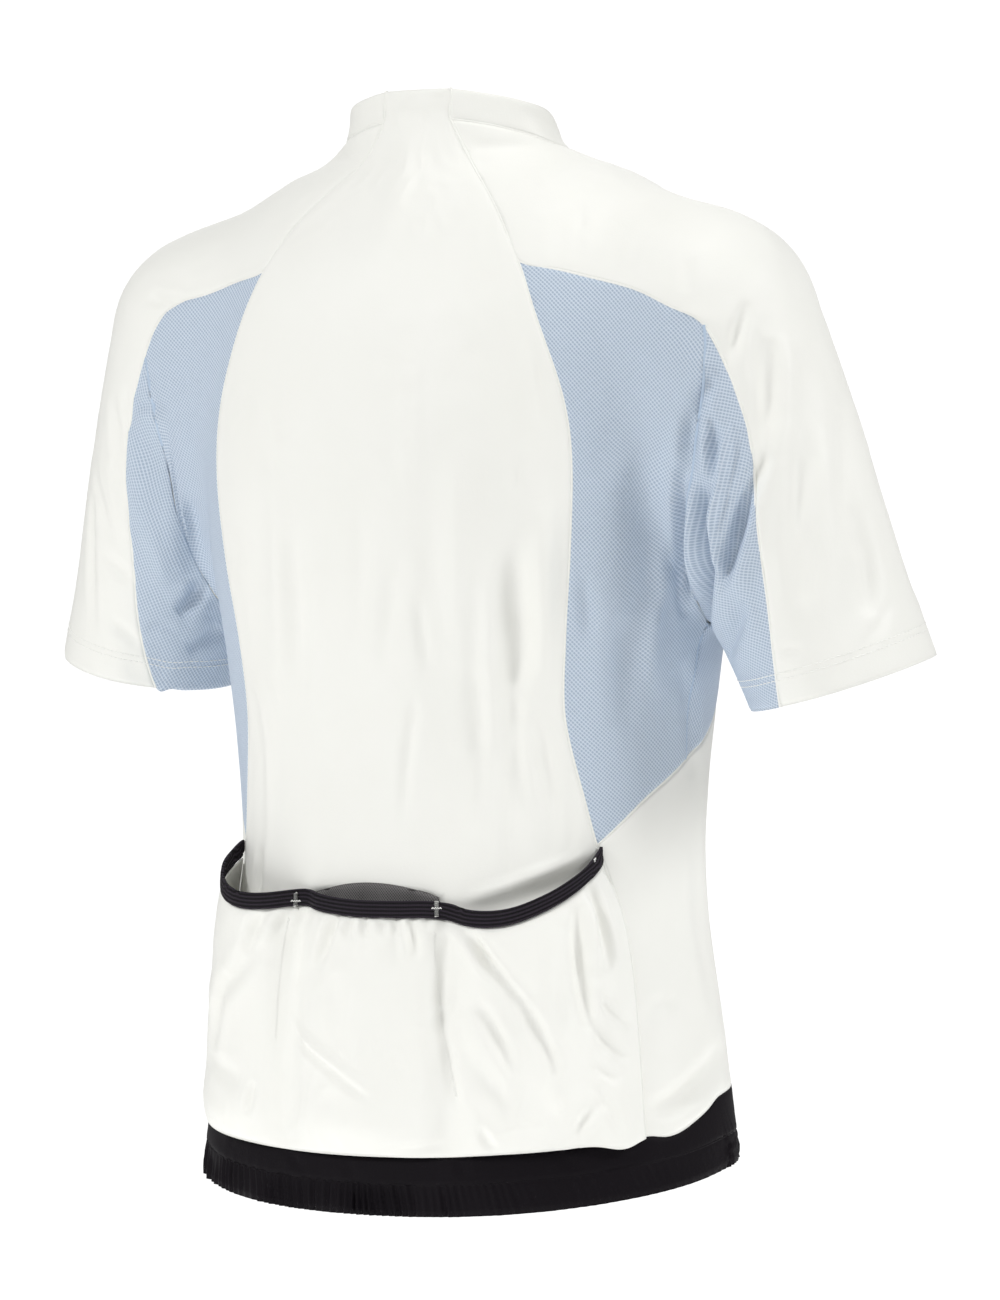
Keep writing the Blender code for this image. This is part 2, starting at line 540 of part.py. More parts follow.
def make_back():
    seams = [line("collar_back", ROWS_COLLAR), line("raglan_back", ROWS_NECK),
             line("princess_back", ROWS_ARMHOLE + ROWS_SIDE_SEAM)]
    ends = [seam[0] for seam in seams]
    levels = [onto_skin(sampled((end, mirrored(end, -1)), COLS_BACK)) for end in ends] + [waist_line()]
    patches = [fill(top, bottom, seam, mirrored(seam, -1))
               for top, bottom, seam in zip(levels, levels[1:], seams)]
    third = COLS_BACK // 3
    waist, hem = patches[-1][-1], line("hem_back", COLS_BACK)
    drops = [line("pocket_side", ROWS_LOW), None, None, mirrored(line("pocket_side", ROWS_LOW), -1)]
    for k in (1, 2):
        drops[k] = onto_skin(sampled((waist[k * third], hem[k * third]), ROWS_LOW))
    low = []
    for k in range(3):
        stretch = slice(k * third, (k + 1) * third + 1)
        low.append(fill(waist[stretch], hem[stretch], drops[k], drops[k + 1]))
    wall("back_panel", patches + [low[0], low[2]], WHITE)
    wall("pocket_lining", [low[1]], GREY)


def aside(points):
    """A line across the pockets, moved so that the middle pocket lies off the middle. Its ends stay."""
    moved = points.copy()
    moved[:, 0] += DIVIDER_SHIFT * (1 - np.abs(points[:, 0] / points[0, 0])**3)
    return moved


def waist_line():
    third = COLS_BACK // 3
    side = line("waist_side", third)
    return onto_skin(aside(chain(side, line("waist_middle", third), mirrored(side, -1)[::-1])))


def make_front():
    rows_chest = ROWS_ARMHOLE + ROWS_SIDE_SEAM
    patches = []
    for side in (1, -1):
        neck = fill(line("collar_root_zip", COLS_FRONT, True), line("chest", COLS_FRONT),
                    line("zip_neck", ROWS_NECK), line("raglan_front", ROWS_NECK))
        chest = fill(line("chest", COLS_FRONT), line("belly", COLS_FRONT),
                     line("zip_chest", rows_chest), line("princess_front", rows_chest))
        belly = fill(line("belly", COLS_FRONT), line("hem_front", COLS_FRONT, True),
                     line("zip_low", ROWS_LOW), line("front_low", ROWS_LOW))
        turn = fill(line("tail_front", COLS_SIDE, True), line("hem_turn", COLS_SIDE, True),
                    line("front_low", ROWS_LOW), line("side_low", ROWS_LOW))
        wing = fill(line("tail_back", COLS_SIDE, True), line("hem_side", COLS_SIDE, True),
                    line("side_low", ROWS_LOW), line("pocket_side", ROWS_LOW))
        patches += [mirrored(grid, side) for grid in (neck, chest, belly, turn, wing)]
    low = line("zip_low", ROWS_LOW)
    patches.append(np.stack((low, mirrored(low, -1)), 1))
    wall("front_panel", patches, WHITE)


def make_sides_and_sleeves():
    for side, word in ((1, "left"), (-1, "right")):
        def run(name, count, back=False, side=side):
            return line(name, count, back, side)

        back = fill(run("yoke_back", COLS_SIDE), run("tail_back", COLS_SIDE),
                    run("princess_back", ROWS_ARMHOLE + ROWS_SIDE_SEAM),
                    chain(run("armhole_back", ROWS_ARMHOLE), run("side_seam", ROWS_SIDE_SEAM)))
        front = fill(run("yoke_front", COLS_SIDE), run("tail_front", COLS_SIDE, True),
                     run("princess_front", ROWS_ARMHOLE + ROWS_SIDE_SEAM),
                     chain(run("armhole_front", ROWS_ARMHOLE, True), run("side_seam", ROWS_SIDE_SEAM)))
        wall("side_back_" + word, [mirrored(back, side)], BLUE)
        wall("side_front_" + word, [mirrored(front, side)], BLUE)

        ridge = run("shoulder", ROWS_NECK + COLS_SIDE + ROWS_SLEEVE)
        under = run("under_sleeve", ROWS_SLEEVE)
        upper, lower = [], []
        for half, way in (("back", 1), ("front", -1)):
            seam = run("sleeve_" + half, ROWS_SLEEVE)
            edge = chain(run("raglan_" + half, ROWS_NECK), run("yoke_" + half, COLS_SIDE), seam)
            root = run("collar_root_" + half, COLS_SHOULDER, way < 0)
            cuff = cuff_edge(way * SEAM_ANGLE, 0, COLS_SHOULDER, side)
            upper.append(mirrored(fill(root, cuff, edge, ridge), side))
            hole = run("armhole_" + half, ROWS_ARMHOLE, way < 0)
            cuff = cuff_edge(way * SEAM_ANGLE, way * 180, ROWS_ARMHOLE, side)
            lower.append(mirrored(fill(hole, cuff, seam, under), side))
        wall("raglan_sleeve_" + word, upper, WHITE)
        wall("sleeve_under_" + word, lower, BLUE)

        top = chain(run("collar_top_back", COLS_SHOULDER), run("collar_top_front", COLS_SHOULDER),
                    run("collar_top_zip", COLS_FRONT))
        root = chain(run("collar_root_back", COLS_SHOULDER), run("collar_root_front", COLS_SHOULDER),
                     run("collar_root_zip", COLS_FRONT))
        collar = fill(top, root, run("collar_back", ROWS_COLLAR), run("collar_front", ROWS_COLLAR))
        wall("collar_" + word, [mirrored(collar, side)], WHITE)


def cuff_edge(start, end, steps, side):
    return onto_skin(np.array([cuff_point(angle, side) for angle in np.linspace(start, end, steps + 1)]))


def hem_ring():
    """The hem seam all the way round, in the steps that the panels above it have."""
    half = chain(line("hem_side", COLS_SIDE), line("hem_turn", COLS_SIDE), line("hem_front", COLS_FRONT))
    return np.vstack((line("hem_back", COLS_BACK)[::-1], half[1:], mirrored(half, -1)[::-1]))


def make_hem():
    top = hem_ring()
    lower = band_line(top)
    rows = [onto_skin_level(top + (lower - top) * k / ROWS_BAND) for k in range(1, ROWS_BAND)]
    grid = np.stack([top] + rows + [lower])
    grid[:, -1] = grid[:, 0]
    wall("hem_band", [grid], BLACK)

    along = np.concatenate(((0,), np.cumsum(np.linalg.norm(np.diff(lower, axis=0), axis=1))))
    behind = lower[:, 1] > GATHER_END_Y
    gathered = along[-1] * np.mean(behind)
    fine = np.arange(0, along[-1], gathered / GATHERS / 2)
    fine = np.append(fine[np.interp(fine, along, lower[:, 1]) > GATHER_END_Y],
                     along[(lower[:, 1] <= GATHER_END_Y)])
    fine = np.sort(np.append(fine, along[-1]))
    fine = fine[np.append(True, np.diff(fine) > NARROWEST)]
    ring = np.stack([np.interp(fine, along, lower[:, k]) for k in range(3)], -1)
    ring = onto_skin_level(ring)
    fade = ease((ring[:, 1] - GATHER_END_Y) / GATHER_FADE)
    wave = GATHER_DEPTH * fade * np.where(np.arange(len(ring)) % 2, 1, -1)
    wave[-1] = wave[0]
    grid = np.stack([onto_skin_level(ring - np.array((0, 0, CASING * down))) for down, _ in CASING_ROWS])
    grid[:, -1] = grid[:, 0]
    stand = np.stack([wave * share for _, share in CASING_ROWS])
    wall("hem_casing", [grid], BLACK, [stand])


def pocket_stand(u, v):
    """How far the pocket panel stands off at shares u across and v down; not at sides and dividers."""
    stand = np.zeros(u.shape)
    for k in range(3):
        inside = np.clip(3 * u - k, 0, 1)
        stand = stand + np.abs(np.sin(math.pi * inside))**POCKET_FULL * between(POCKET_STAND, v, k + 1)
    for u0, v0, u1, v1, height, width in POCKET_FOLDS:
        t = np.clip(((u - u0) * (u1 - u0) + (v - v0) * (v1 - v0)) / ((u1 - u0)**2 + (v1 - v0)**2), 0, 1)
        away = np.hypot((u - u0 - t * (u1 - u0)) * POCKET_WIDTH, (v - v0 - t * (v1 - v0)) * POCKET_DEPTH)
        stand = stand + height * np.sin(math.pi * np.clip(t, 0.05, 0.95)) * np.exp(-(away / width)**2)
    return np.maximum(stand, 0) * ease(np.minimum(u, 1 - u) / POCKET_EDGE)


def make_pocket():
    lower = onto_skin(aside(sampled(MOUTH, COLS_POCKET)))
    upper = onto_skin(lower + np.array((0, 0, BINDING)))
    side = line("pocket_edge", ROWS_POCKET)
    grid = fill(lower, onto_skin(aside(line("hem_back", COLS_POCKET))), side, mirrored(side, -1))
    u, v = np.meshgrid(np.linspace(0, 1, COLS_POCKET + 1), np.linspace(0, 1, ROWS_POCKET + 1))
    wall("pocket_panel", [grid], WHITE, [pocket_stand(u, v) + LIFT + WALL])
    rows = np.stack([onto_skin(upper + (lower - upper) * k / 2) for k in range(3)])
    stand = np.broadcast_to(pocket_stand(u[0], v[0]), rows.shape[:2]) + LIFT + BINDING_THICK
    wall("pocket_binding", [rows], BLACK, [stand], BINDING_THICK)


def box(centre, size):
    bm = bmesh.new()
    bmesh.ops.create_cube(bm, size=1)
    bmesh.ops.scale(bm, vec=size, verts=bm.verts[:])
    bmesh.ops.translate(bm, vec=centre, verts=bm.verts[:])
    return bm


def soften(bm, width):
    bmesh.ops.bevel(bm, geom=bm.edges[:], offset=width, segments=1, affect="EDGES", profile=0.5)


def make_zip():
    edge = chain(line("collar_front", ROWS_COLLAR), line("zip_neck", ROWS_NECK),
                 line("zip_chest", ROWS_ARMHOLE + ROWS_SIDE_SEAM))
    wall("zip_tape", [np.stack((edge, mirrored(edge, -1)), 1)], WHITE)

    tape = (edge[0] + edge[1]) / 2
    lean = math.atan2(edge[0][1] - edge[1][1], edge[0][2] - edge[1][2])
    forward = np.array((0, -math.cos(lean), math.sin(lean)))
    place = np.array((0, tape[1], tape[2])) + forward * SEAM_GAP

    width, depth, height = SLIDER
    body = box((0, -depth / 2, 0), (width, depth, height))
    soften(body, SLIDER_EDGE)
    slider = add_object("zip_slider", body, METAL, 0.35, 1.0)
    slider.location = place
    slider.rotation_euler = (-lean, 0, 0)
    for side in (1, -1):
        centre = (side * (TAB_HEAD / 2 + SEAM_GAP + EAR / 2), -depth - (EAR_RISE - EAR_ROOT) / 2, 0)
        ear = add_object("slider_ear", box(centre, (EAR, EAR_RISE + EAR_ROOT, 2 * EAR_HALF)), METAL)
        ear.parent = slider
        ear.hide_render = True
        ear.display_type = "WIRE"
        join = slider.modifiers.new("ear", "BOOLEAN")
        join.operation = "UNION"
        join.solver = "EXACT"
        join.object = ear

    tab = add_object("zip_pull", tab_shape(), METAL, 0.35, 1.0)
    tab.location = place + forward * (depth + AXIS_RISE)
    tab.rotation_euler = (-math.radians(TAB_LEAN), 0, 0)


def tab_shape():
    """The pull tab: a narrow head on the hinge's axis, and a wider plate with a rounded end below it."""
    half, head, thick, length = TAB[0] / 2, TAB_HEAD / 2, TAB[1], TAB[2]
    arc = [(half * math.cos(a), -length + half - half * math.sin(a)) for a in np.linspace(0, math.pi, 7)]
    outline = [(-head, HEAD_ABOVE), (head, HEAD_ABOVE), (head, -HEAD_BELOW), (half, -HEAD_BELOW - half + head)]
    outline += arc + [(-half, -HEAD_BELOW - half + head), (-head, -HEAD_BELOW)]
    bm = bmesh.new()
    face = bm.faces.new([bm.verts.new((x, thick / 2, z)) for x, z in outline])
    grown = bmesh.ops.extrude_face_region(bm, geom=[face])
    front = [v for v in grown["geom"] if isinstance(v, bmesh.types.BMVert)]
    bmesh.ops.translate(bm, vec=(0, -thick, 0), verts=front)
    bmesh.ops.recalc_face_normals(bm, faces=bm.faces[:])
    return bm


def clear_scene():
    for old in list(bpy.data.objects):
        bpy.data.objects.remove(old, do_unlink=True)


clear_scene()
make_back()
make_front()
make_sides_and_sleeves()
make_hem()
make_pocket()
make_zip()
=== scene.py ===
import math

import bmesh
import bpy
import numpy as np
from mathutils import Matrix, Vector, kdtree, noise
from mathutils.bvhtree import BVHTree


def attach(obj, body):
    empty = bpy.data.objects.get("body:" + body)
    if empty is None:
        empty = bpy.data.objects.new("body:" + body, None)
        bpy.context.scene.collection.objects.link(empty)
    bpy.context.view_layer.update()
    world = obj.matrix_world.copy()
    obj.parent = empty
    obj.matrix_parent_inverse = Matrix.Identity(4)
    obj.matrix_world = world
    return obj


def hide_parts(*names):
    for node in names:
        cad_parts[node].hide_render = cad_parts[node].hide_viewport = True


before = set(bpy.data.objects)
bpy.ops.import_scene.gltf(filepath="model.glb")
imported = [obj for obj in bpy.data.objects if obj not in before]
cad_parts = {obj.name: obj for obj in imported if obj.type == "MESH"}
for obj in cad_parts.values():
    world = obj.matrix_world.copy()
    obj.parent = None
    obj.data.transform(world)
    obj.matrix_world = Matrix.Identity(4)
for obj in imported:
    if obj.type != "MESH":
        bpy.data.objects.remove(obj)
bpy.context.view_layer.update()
mm = 0.001


# small helpers

def rgb(code):
    # an sRGB hex colour as linear values
    parts = [int(code[i:i + 2], 16) / 255 for i in (0, 2, 4)]
    return tuple(c / 12.92 if c <= 0.04045 else ((c + 0.055) / 1.055)**2.4 for c in parts) + (1,)


def addNode(tree, kind, settings=None, **links):
    # one node with its settings; each socket takes a value or another node's output
    node = tree.nodes.new(kind)
    for key, value in (settings or {}).items():
        setattr(node, key, value)
    for key, value in links.items():
        socket = node.inputs[int(key[1:])] if key[1:].isdigit() else node.inputs[key.replace("_", " ")]
        if isinstance(value, bpy.types.NodeSocket):
            tree.links.new(value, socket)
        else:
            socket.default_value = value
    return node


def newMaterial(name, colour, roughness, **sockets):
    made = bpy.data.materials.new(name)
    made.use_nodes = True
    shader = made.node_tree.nodes["Principled BSDF"]
    shader.inputs["Base Color"].default_value = rgb(colour)
    shader.inputs["Roughness"].default_value = roughness
    for socket, value in sockets.items():
        shader.inputs[socket.replace("_", " ")].default_value = value
    return made, shader


def meshObject(name, bm):
    mesh = bpy.data.meshes.new(name)
    bm.to_mesh(mesh)
    bm.free()
    made = bpy.data.objects.new(name, mesh)
    bpy.context.scene.collection.objects.link(made)
    return made


def pointsOf(mesh, layer="vertices", value="co"):
    co = np.empty(len(mesh.vertices) * 3, np.float32)
    getattr(mesh, layer).foreach_get(value, co)
    return co.reshape(-1, 3).astype(float)


def setPoints(mesh, points):
    mesh.vertices.foreach_set("co", points.astype(np.float32).ravel())
    mesh.update()


def smoothStep(t):
    t = np.clip(t, 0, 1)
    return t * t * (3 - 2 * t)


# materials: colours, sizes of each pattern and depth of its relief; real loops and scratches are too fine
# to show, so they are drawn coarser

cloudSize = 62.5 * mm    # of the faint shade that drifts over every knit

whiteKnitLook = {"thread": "F4F4EF", "shade": "EFEFE9", "loops": 1.2 * mm, "depth": 0.05 * mm,
                 "roughness": 0.5, "gloss": 0.3, "sheen": 0.1}
blackKnitLook = {"thread": "120D13", "shade": "0B080C", "loops": 1.3 * mm, "depth": 0.1 * mm,
                 "roughness": 0.55, "gloss": 0.1, "sheen": 0.0}
# a mesh's hole colour is painted shade: the dark seen down its sunk holes
blueMeshLook = {"thread": "D0DAE6", "hole": "A6B6C9", "across": 2.7 * mm, "down": 2.7 * mm,
                "depth": 0.25 * mm, "roughness": 0.65, "gloss": 0.2, "sheen": 0.05}
sheerLook = {"thread": "787676", "hole": "4A4848", "across": 1.8 * mm, "down": 1.8 * mm,
             "depth": 0.1 * mm, "roughness": 0.75, "gloss": 0.1, "sheen": 0.0}
# the elastic's rib colour is its black with painted highlight, its groove colour painted shade
elasticLook = {"ribHighlight": "2F2932", "grooveShade": "070508", "ribs": 2.5 * mm, "cords": 1.1 * mm,
               "depth": 0.8 * mm, "roughness": 0.65, "gloss": 0.15}
tapeLook = {"thread": "F3F3F0", "shade": "E9E9E6", "loops": 0.9 * mm, "depth": 0.08 * mm,
            "roughness": 0.65, "gloss": 0.3, "sheen": 0.1}
whiteThreadLook = {"thread": "FAFAF7", "shade": "F1F1ED", "loops": 0.6 * mm, "depth": 0.05 * mm,
                   "roughness": 0.5, "gloss": 0.4, "sheen": 0.1}
blueThreadLook = {"thread": "BCCDE0", "shade": "AFC1D6", "loops": 0.6 * mm, "depth": 0.05 * mm,
                  "roughness": 0.5, "gloss": 0.3, "sheen": 0.1}
greyThreadLook = {"thread": "4C4A4A", "shade": "3E3C3C", "loops": 0.6 * mm, "depth": 0.05 * mm,
                  "roughness": 0.6, "gloss": 0.1, "sheen": 0.0}
nylonLook = {"thread": "F4F4F1", "shade": "EBEBE8", "loops": 1.5 * mm, "depth": 0.01 * mm,
             "roughness": 0.35, "gloss": 0.5, "sheen": 0.0}
zincLook = {"metal": "C2C2C4", "roughness": 0.32, "grain": 0.4 * mm, "depth": 0.02 * mm}


def shadeAndRelief(tree, shader, colours, spread, relief, depth, strength, sunk=False):
    # two colours shared out by one pattern, over the relief of the same or another
    shade = addNode(tree, "ShaderNodeMix", {"data_type": "RGBA"}, n0=spread, n6=rgb(colours[0]),
                    n7=rgb(colours[1]))
    tree.links.new(shade.outputs[2], shader.inputs["Base Color"])
    bump = addNode(tree, "ShaderNodeBump", {"invert": sunk}, Height=relief, Distance=depth,
                   Strength=strength)
    tree.links.new(bump.outputs["Normal"], shader.inputs["Normal"])


def knitMaterial(name, look):
    # fine smooth knit: a soft even shine, faint cloudy shade, loops that only just break it up
    made, shader = newMaterial(name, look["thread"], look["roughness"], Sheen_Weight=look["sheen"],
                               Sheen_Roughness=0.5, Specular_IOR_Level=look["gloss"])
    tree = made.node_tree
    where = addNode(tree, "ShaderNodeTexCoord").outputs["Object"]
    cloudy = addNode(tree, "ShaderNodeTexNoise", Vector=where, Scale=1 / cloudSize, Detail=4.0)
    loops = addNode(tree, "ShaderNodeTexVoronoi", Vector=where, Scale=1 / look["loops"])
    shadeAndRelief(tree, shader, (look["thread"], look["shade"]), cloudy.outputs["Fac"],
                   loops.outputs["Distance"], look["depth"], 0.6)
    return made


def meshMaterial(name, look):
    # birdseye mesh: raised threads that cross round small sunk diamonds; the diamonds' darker colour is
    # painted shade
    made, shader = newMaterial(name, look["thread"], look["roughness"], Sheen_Weight=look["sheen"],
                               Sheen_Roughness=0.5, Specular_IOR_Level=look["gloss"])
    tree = made.node_tree
    where = addNode(tree, "ShaderNodeUVMap", {"uv_map": "weave"}).outputs["UV"]
    parts = addNode(tree, "ShaderNodeSeparateXYZ", Vector=where).outputs
    turns = []
    for along, length in (("X", look["across"]), ("Y", look["down"])):
        turn = addNode(tree, "ShaderNodeMath", {"operation": "MULTIPLY"}, n0=parts[along],
                       n1=math.pi / length)
        turns.append(turn.outputs[0])
    slants = []
    for way in ("ADD", "SUBTRACT"):
        slant = addNode(tree, "ShaderNodeMath", {"operation": way}, n0=turns[0], n1=turns[1])
        wave = addNode(tree, "ShaderNodeMath", {"operation": "SINE"}, n0=slant.outputs[0])
        slants.append(addNode(tree, "ShaderNodeMath", {"operation": "ABSOLUTE"}, n0=wave.outputs[0]))
    crossed = addNode(tree, "ShaderNodeMath", {"operation": "MULTIPLY"}, n0=slants[0].outputs[0],
                      n1=slants[1].outputs[0])
    hole = addNode(tree, "ShaderNodeMath", {"operation": "MULTIPLY_ADD"}, n0=slants[0].outputs[0],
                   n1=0.5, n2=crossed.outputs[0])    # one slant is the stronger, so rows run diagonally
    spread = addNode(tree, "ShaderNodeMapRange", {"interpolation_type": "SMOOTHSTEP"},
                     n0=hole.outputs[0], n1=0.25, n2=1.3).outputs[0]    # holes with soft edges
    # thread colour on the threads and painted shade in the holes; the same pattern also sinks the holes as
    # relief
    shadeAndRelief(tree, shader, (look["thread"], look["hole"]), spread, spread, look["depth"], 0.7,
                   sunk=True)
    return made


def elasticMaterial(name, look):
    # woven elastic: even ribs along the band, over fine cords that cross them; the ribs' lighter colour is
    # painted highlight and the grooves' darker colour painted shade
    made, shader = newMaterial(name, look["ribHighlight"], look["roughness"], Specular_IOR_Level=look["gloss"])
    tree = made.node_tree
    where = addNode(tree, "ShaderNodeUVMap", {"uv_map": "weave"}).outputs["UV"]
    parts = addNode(tree, "ShaderNodeSeparateXYZ", Vector=where).outputs
    waves = []
    for along, length in (("Y", look["ribs"]), ("X", look["cords"])):
        turns = addNode(tree, "ShaderNodeMath", {"operation": "MULTIPLY"}, n0=parts[along],
                        n1=2 * math.pi / length)
        waves.append(addNode(tree, "ShaderNodeMath", {"operation": "SINE"}, n0=turns.outputs[0]))
    height = addNode(tree, "ShaderNodeMath", {"operation": "MULTIPLY_ADD"}, n0=waves[1].outputs[0],
                     n1=0.15, n2=waves[0].outputs[0])    # the cords are much finer than the ribs
    spread = addNode(tree, "ShaderNodeMapRange", n0=height.outputs[0], n1=-1.0, n2=1.0).outputs[0]
    # painted shade in the grooves and painted highlight on the ribs, over the same relief
    shadeAndRelief(tree, shader, (look["grooveShade"], look["ribHighlight"]), spread, spread, look["depth"], 1.0)
    return made


def castMetalMaterial(name, look):
    # tumbled zinc casting: a soft grey shine with fine scratches
    made, shader = newMaterial(name, look["metal"], look["roughness"], Metallic=1.0)
    tree = made.node_tree
    where = addNode(tree, "ShaderNodeTexCoord").outputs["Object"]
    fine = addNode(tree, "ShaderNodeTexNoise", Vector=where, Scale=1 / look["grain"],
                   Detail=3.0).outputs["Fac"]
    worn = addNode(tree, "ShaderNodeMapRange", n0=fine, n3=look["roughness"] - 0.08,
                   n4=look["roughness"] + 0.1)
    tree.links.new(worn.outputs[0], shader.inputs["Roughness"])
    bump = addNode(tree, "ShaderNodeBump", Height=fine, Distance=look["depth"], Strength=0.5)
    tree.links.new(bump.outputs["Normal"], shader.inputs["Normal"])
    return made


whiteKnit = knitMaterial("white polyester knit", whiteKnitLook)
blackKnit = knitMaterial("black polyester knit", blackKnitLook)
blueMesh = meshMaterial("light blue birdseye mesh", blueMeshLook)
sheerMesh = meshMaterial("grey sheer mesh", sheerLook)
blackElastic = elasticMaterial("black woven elastic", elasticLook)
zipTape = knitMaterial("white woven zip tape", tapeLook)
whiteThread = knitMaterial("white polyester thread", whiteThreadLook)
blueThread = knitMaterial("light blue polyester thread", blueThreadLook)
greyThread = knitMaterial("dark grey polyester thread", greyThreadLook)
whiteNylon = knitMaterial("white moulded nylon", nylonLook)
castMetal = castMetalMaterial("satin zinc casting", zincLook)
print("materials made")


# cloth made on the form of each panel's solid

# a wall's own edge face is slim, and its shortest side runs through the wall; the sheet's faces bend less
wallLook = {"merged": 0.02 * mm, "slim": 1.7 * mm, "short": 3.4 * mm, "through": 0.7, "bend": 0.42}


def edgeFaces(bm, look):
    # the narrow faces round a wall's rim, told from the sheet's own slim ones
    slim = {face for face in bm.faces
            if face.calc_area() < look["slim"] * max(edge.calc_length() for edge in face.edges)}
    found = set()
    for face in slim:
        wide = [other for v in face.verts for other in v.link_faces if other not in slim]
        side = min(face.edges, key=lambda edge: edge.calc_length())
        through = (side.verts[0].co - side.verts[1].co).normalized()
        steepest = max((abs(through.dot(other.normal)) for other in wide), default=0)
        if side.calc_length() < look["short"] and steepest > look["through"]:
            found.add(face)
    return found


def outerFace(node, axis, plain, look):
    # the solid's face on the side away from the axis, merged, as quads
    bm = bmesh.new()
    bm.from_mesh(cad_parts[node].data)
    bmesh.ops.remove_doubles(bm, verts=bm.verts[:], dist=look["merged"])
    bm.normal_update()
    top, run = Vector(axis[0]), Vector(axis[1]) - Vector(axis[0])
    left, best = set(bm.faces), (-1e9, [])
    if plain:
        left -= edgeFaces(bm, look)
    while left:
        reached = [left.pop()]
        for face in reached:
            for edge in face.edges:
                for other in edge.link_faces:
                    if other in left and other.normal.dot(face.normal) > look["bend"]:
                        left.remove(other)
                        reached.append(other)
        outward = 0
        for face in reached:
            centre = face.calc_center_median()
            share = min(1, max(0, (centre - top).dot(run) / run.length_squared))
            outward += face.calc_area() * (centre - top - run * share).normalized().dot(face.normal)
        best = max(best, (outward, reached), key=lambda one: one[0])
    keep = set(best[1])
    bmesh.ops.delete(bm, geom=[face for face in bm.faces if face not in keep], context="FACES")
    bmesh.ops.holes_fill(bm, edges=[edge for edge in bm.edges if edge.is_boundary], sides=4)
    bmesh.ops.join_triangles(bm, faces=bm.faces[:], angle_face_threshold=math.radians(60),
                             angle_shape_threshold=math.radians(75))
    return bm


ringLook = {"radius": 140 * mm, "along": 9 * mm, "between": 2.5 * mm}


def evenRing(bm, look):
    # the radius of a gathered ring evened out round it, row by row
    points = np.array([v.co for v in bm.verts])
    angle = np.arctan2(points[:, 0], points[:, 1])
    radius = np.hypot(points[:, 0], points[:, 1])
    apart = np.abs((angle[:, None] - angle + math.pi) % (2 * math.pi) - math.pi) * look["radius"]
    above = points[:, 2][:, None] - points[:, 2]
    weight = np.exp(-(apart / look["along"])**2) * np.exp(-(above / look["between"])**2)
    even = weight @ radius / weight.sum(1)
    for v, r, r2 in zip(bm.verts, radius, even):
        v.co.x *= r2 / r
        v.co.y *= r2 / r


def layFlat(piece, upward, method):
    # the piece's pattern, in metres, with the weave's up along the given direction
    bpy.context.view_layer.objects.active = piece
    piece.select_set(True)
    bpy.ops.object.mode_set(mode="EDIT")
    bpy.ops.mesh.select_all(action="SELECT")
    bpy.ops.uv.unwrap(method=method, margin=0)
    bpy.ops.object.mode_set(mode="OBJECT")
    piece.select_set(False)
    mesh = piece.data
    layer = mesh.uv_layers.active
    layer.name = "weave"
    flat = np.empty(len(mesh.loops) * 2, np.float32)
    layer.data.foreach_get("uv", flat)
    flat = flat.reshape(-1, 2).astype(float)
    owner = np.empty(len(mesh.loops), np.int32)
    mesh.loops.foreach_get("vertex_index", owner)
    height = pointsOf(mesh)[owner] @ np.array(upward)
    fit = np.linalg.lstsq(np.c_[flat, np.ones(len(flat))], height, rcond=None)[0][:2]
    up = fit / np.linalg.norm(fit)
    flat = np.stack((flat @ (up[1], -up[0]), flat @ up), 1)
    shown = laid = 0
    for polygon in mesh.polygons:
        corners = flat[polygon.loop_start:polygon.loop_start + polygon.loop_total]
        ahead = np.roll(corners, -1, axis=0)
        laid += abs(np.sum(corners[:, 0] * ahead[:, 1] - ahead[:, 0] * corners[:, 1])) / 2
        shown += polygon.area
    flat *= math.sqrt(shown / laid)
    flat -= flat.min(0)
    layer.data.foreach_set("uv", flat.astype(np.float32).ravel())
    return flat.max(0), shown


fitRounds = 6    # how often the cage is moved before the surface passes through the solid's points


def smoothSheet(name, bm, levels, upward, method):
    # a subdivision surface through the solid's own points, and its cut
    piece = meshObject(name, bm)
    cut = layFlat(piece, upward, method)
    goal = pointsOf(piece.data)
    smooth = piece.modifiers.new("smooth", "SUBSURF")
    smooth.levels = smooth.render_levels = 1
    smooth.boundary_smooth = "PRESERVE_CORNERS"
    cage = goal.copy()
    for _ in range(fitRounds):
        found = pointsOf(piece.evaluated_get(bpy.context.evaluated_depsgraph_get()).data)[:len(goal)]
        cage += goal - found
        setPoints(piece.data, cage)
        bpy.context.view_layer.update()
    smooth.levels = smooth.render_levels = levels
    made = bpy.data.meshes.new_from_object(piece.evaluated_get(bpy.context.evaluated_depsgraph_get()))
    piece.modifiers.clear()
    piece.data = made
    made.name = name
    return piece, cut


def rimRows(mesh):
    # the open edges of a sheet, as rows of vertices in order
    uses = np.zeros(len(mesh.edges), int)
    used = np.empty(len(mesh.loops), np.int32)
    mesh.loops.foreach_get("edge_index", used)
    np.add.at(uses, used, 1)
    ends = np.empty(len(mesh.edges) * 2, np.int32)
    mesh.edges.foreach_get("vertices", ends)
    beside = {}
    for a, b in ends.reshape(-1, 2)[uses == 1].tolist():
        beside.setdefault(a, []).append(b)
        beside.setdefault(b, []).append(a)
    rows, left = [], set(beside)
    while left:
        row = [left.pop()]
        while True:
            ahead = [k for k in beside[row[-1]] if k in left]
            if not ahead:
                break
            row.append(ahead[0])
            left.remove(ahead[0])
        rows.append(row)
    return rows


def treeOf(points, chosen):
    tree = kdtree.KDTree(len(chosen))
    for k in chosen:
        tree.insert(points[k], k)
    tree.balance()
    return tree


def skinOf(nodes):
    # a search tree over several pieces' cloth
    bm = bmesh.new()
    for node in nodes:
        bm.from_mesh(pieceOf[node].data)
    tree = BVHTree.FromBMesh(bm)
    bm.free()
    return tree


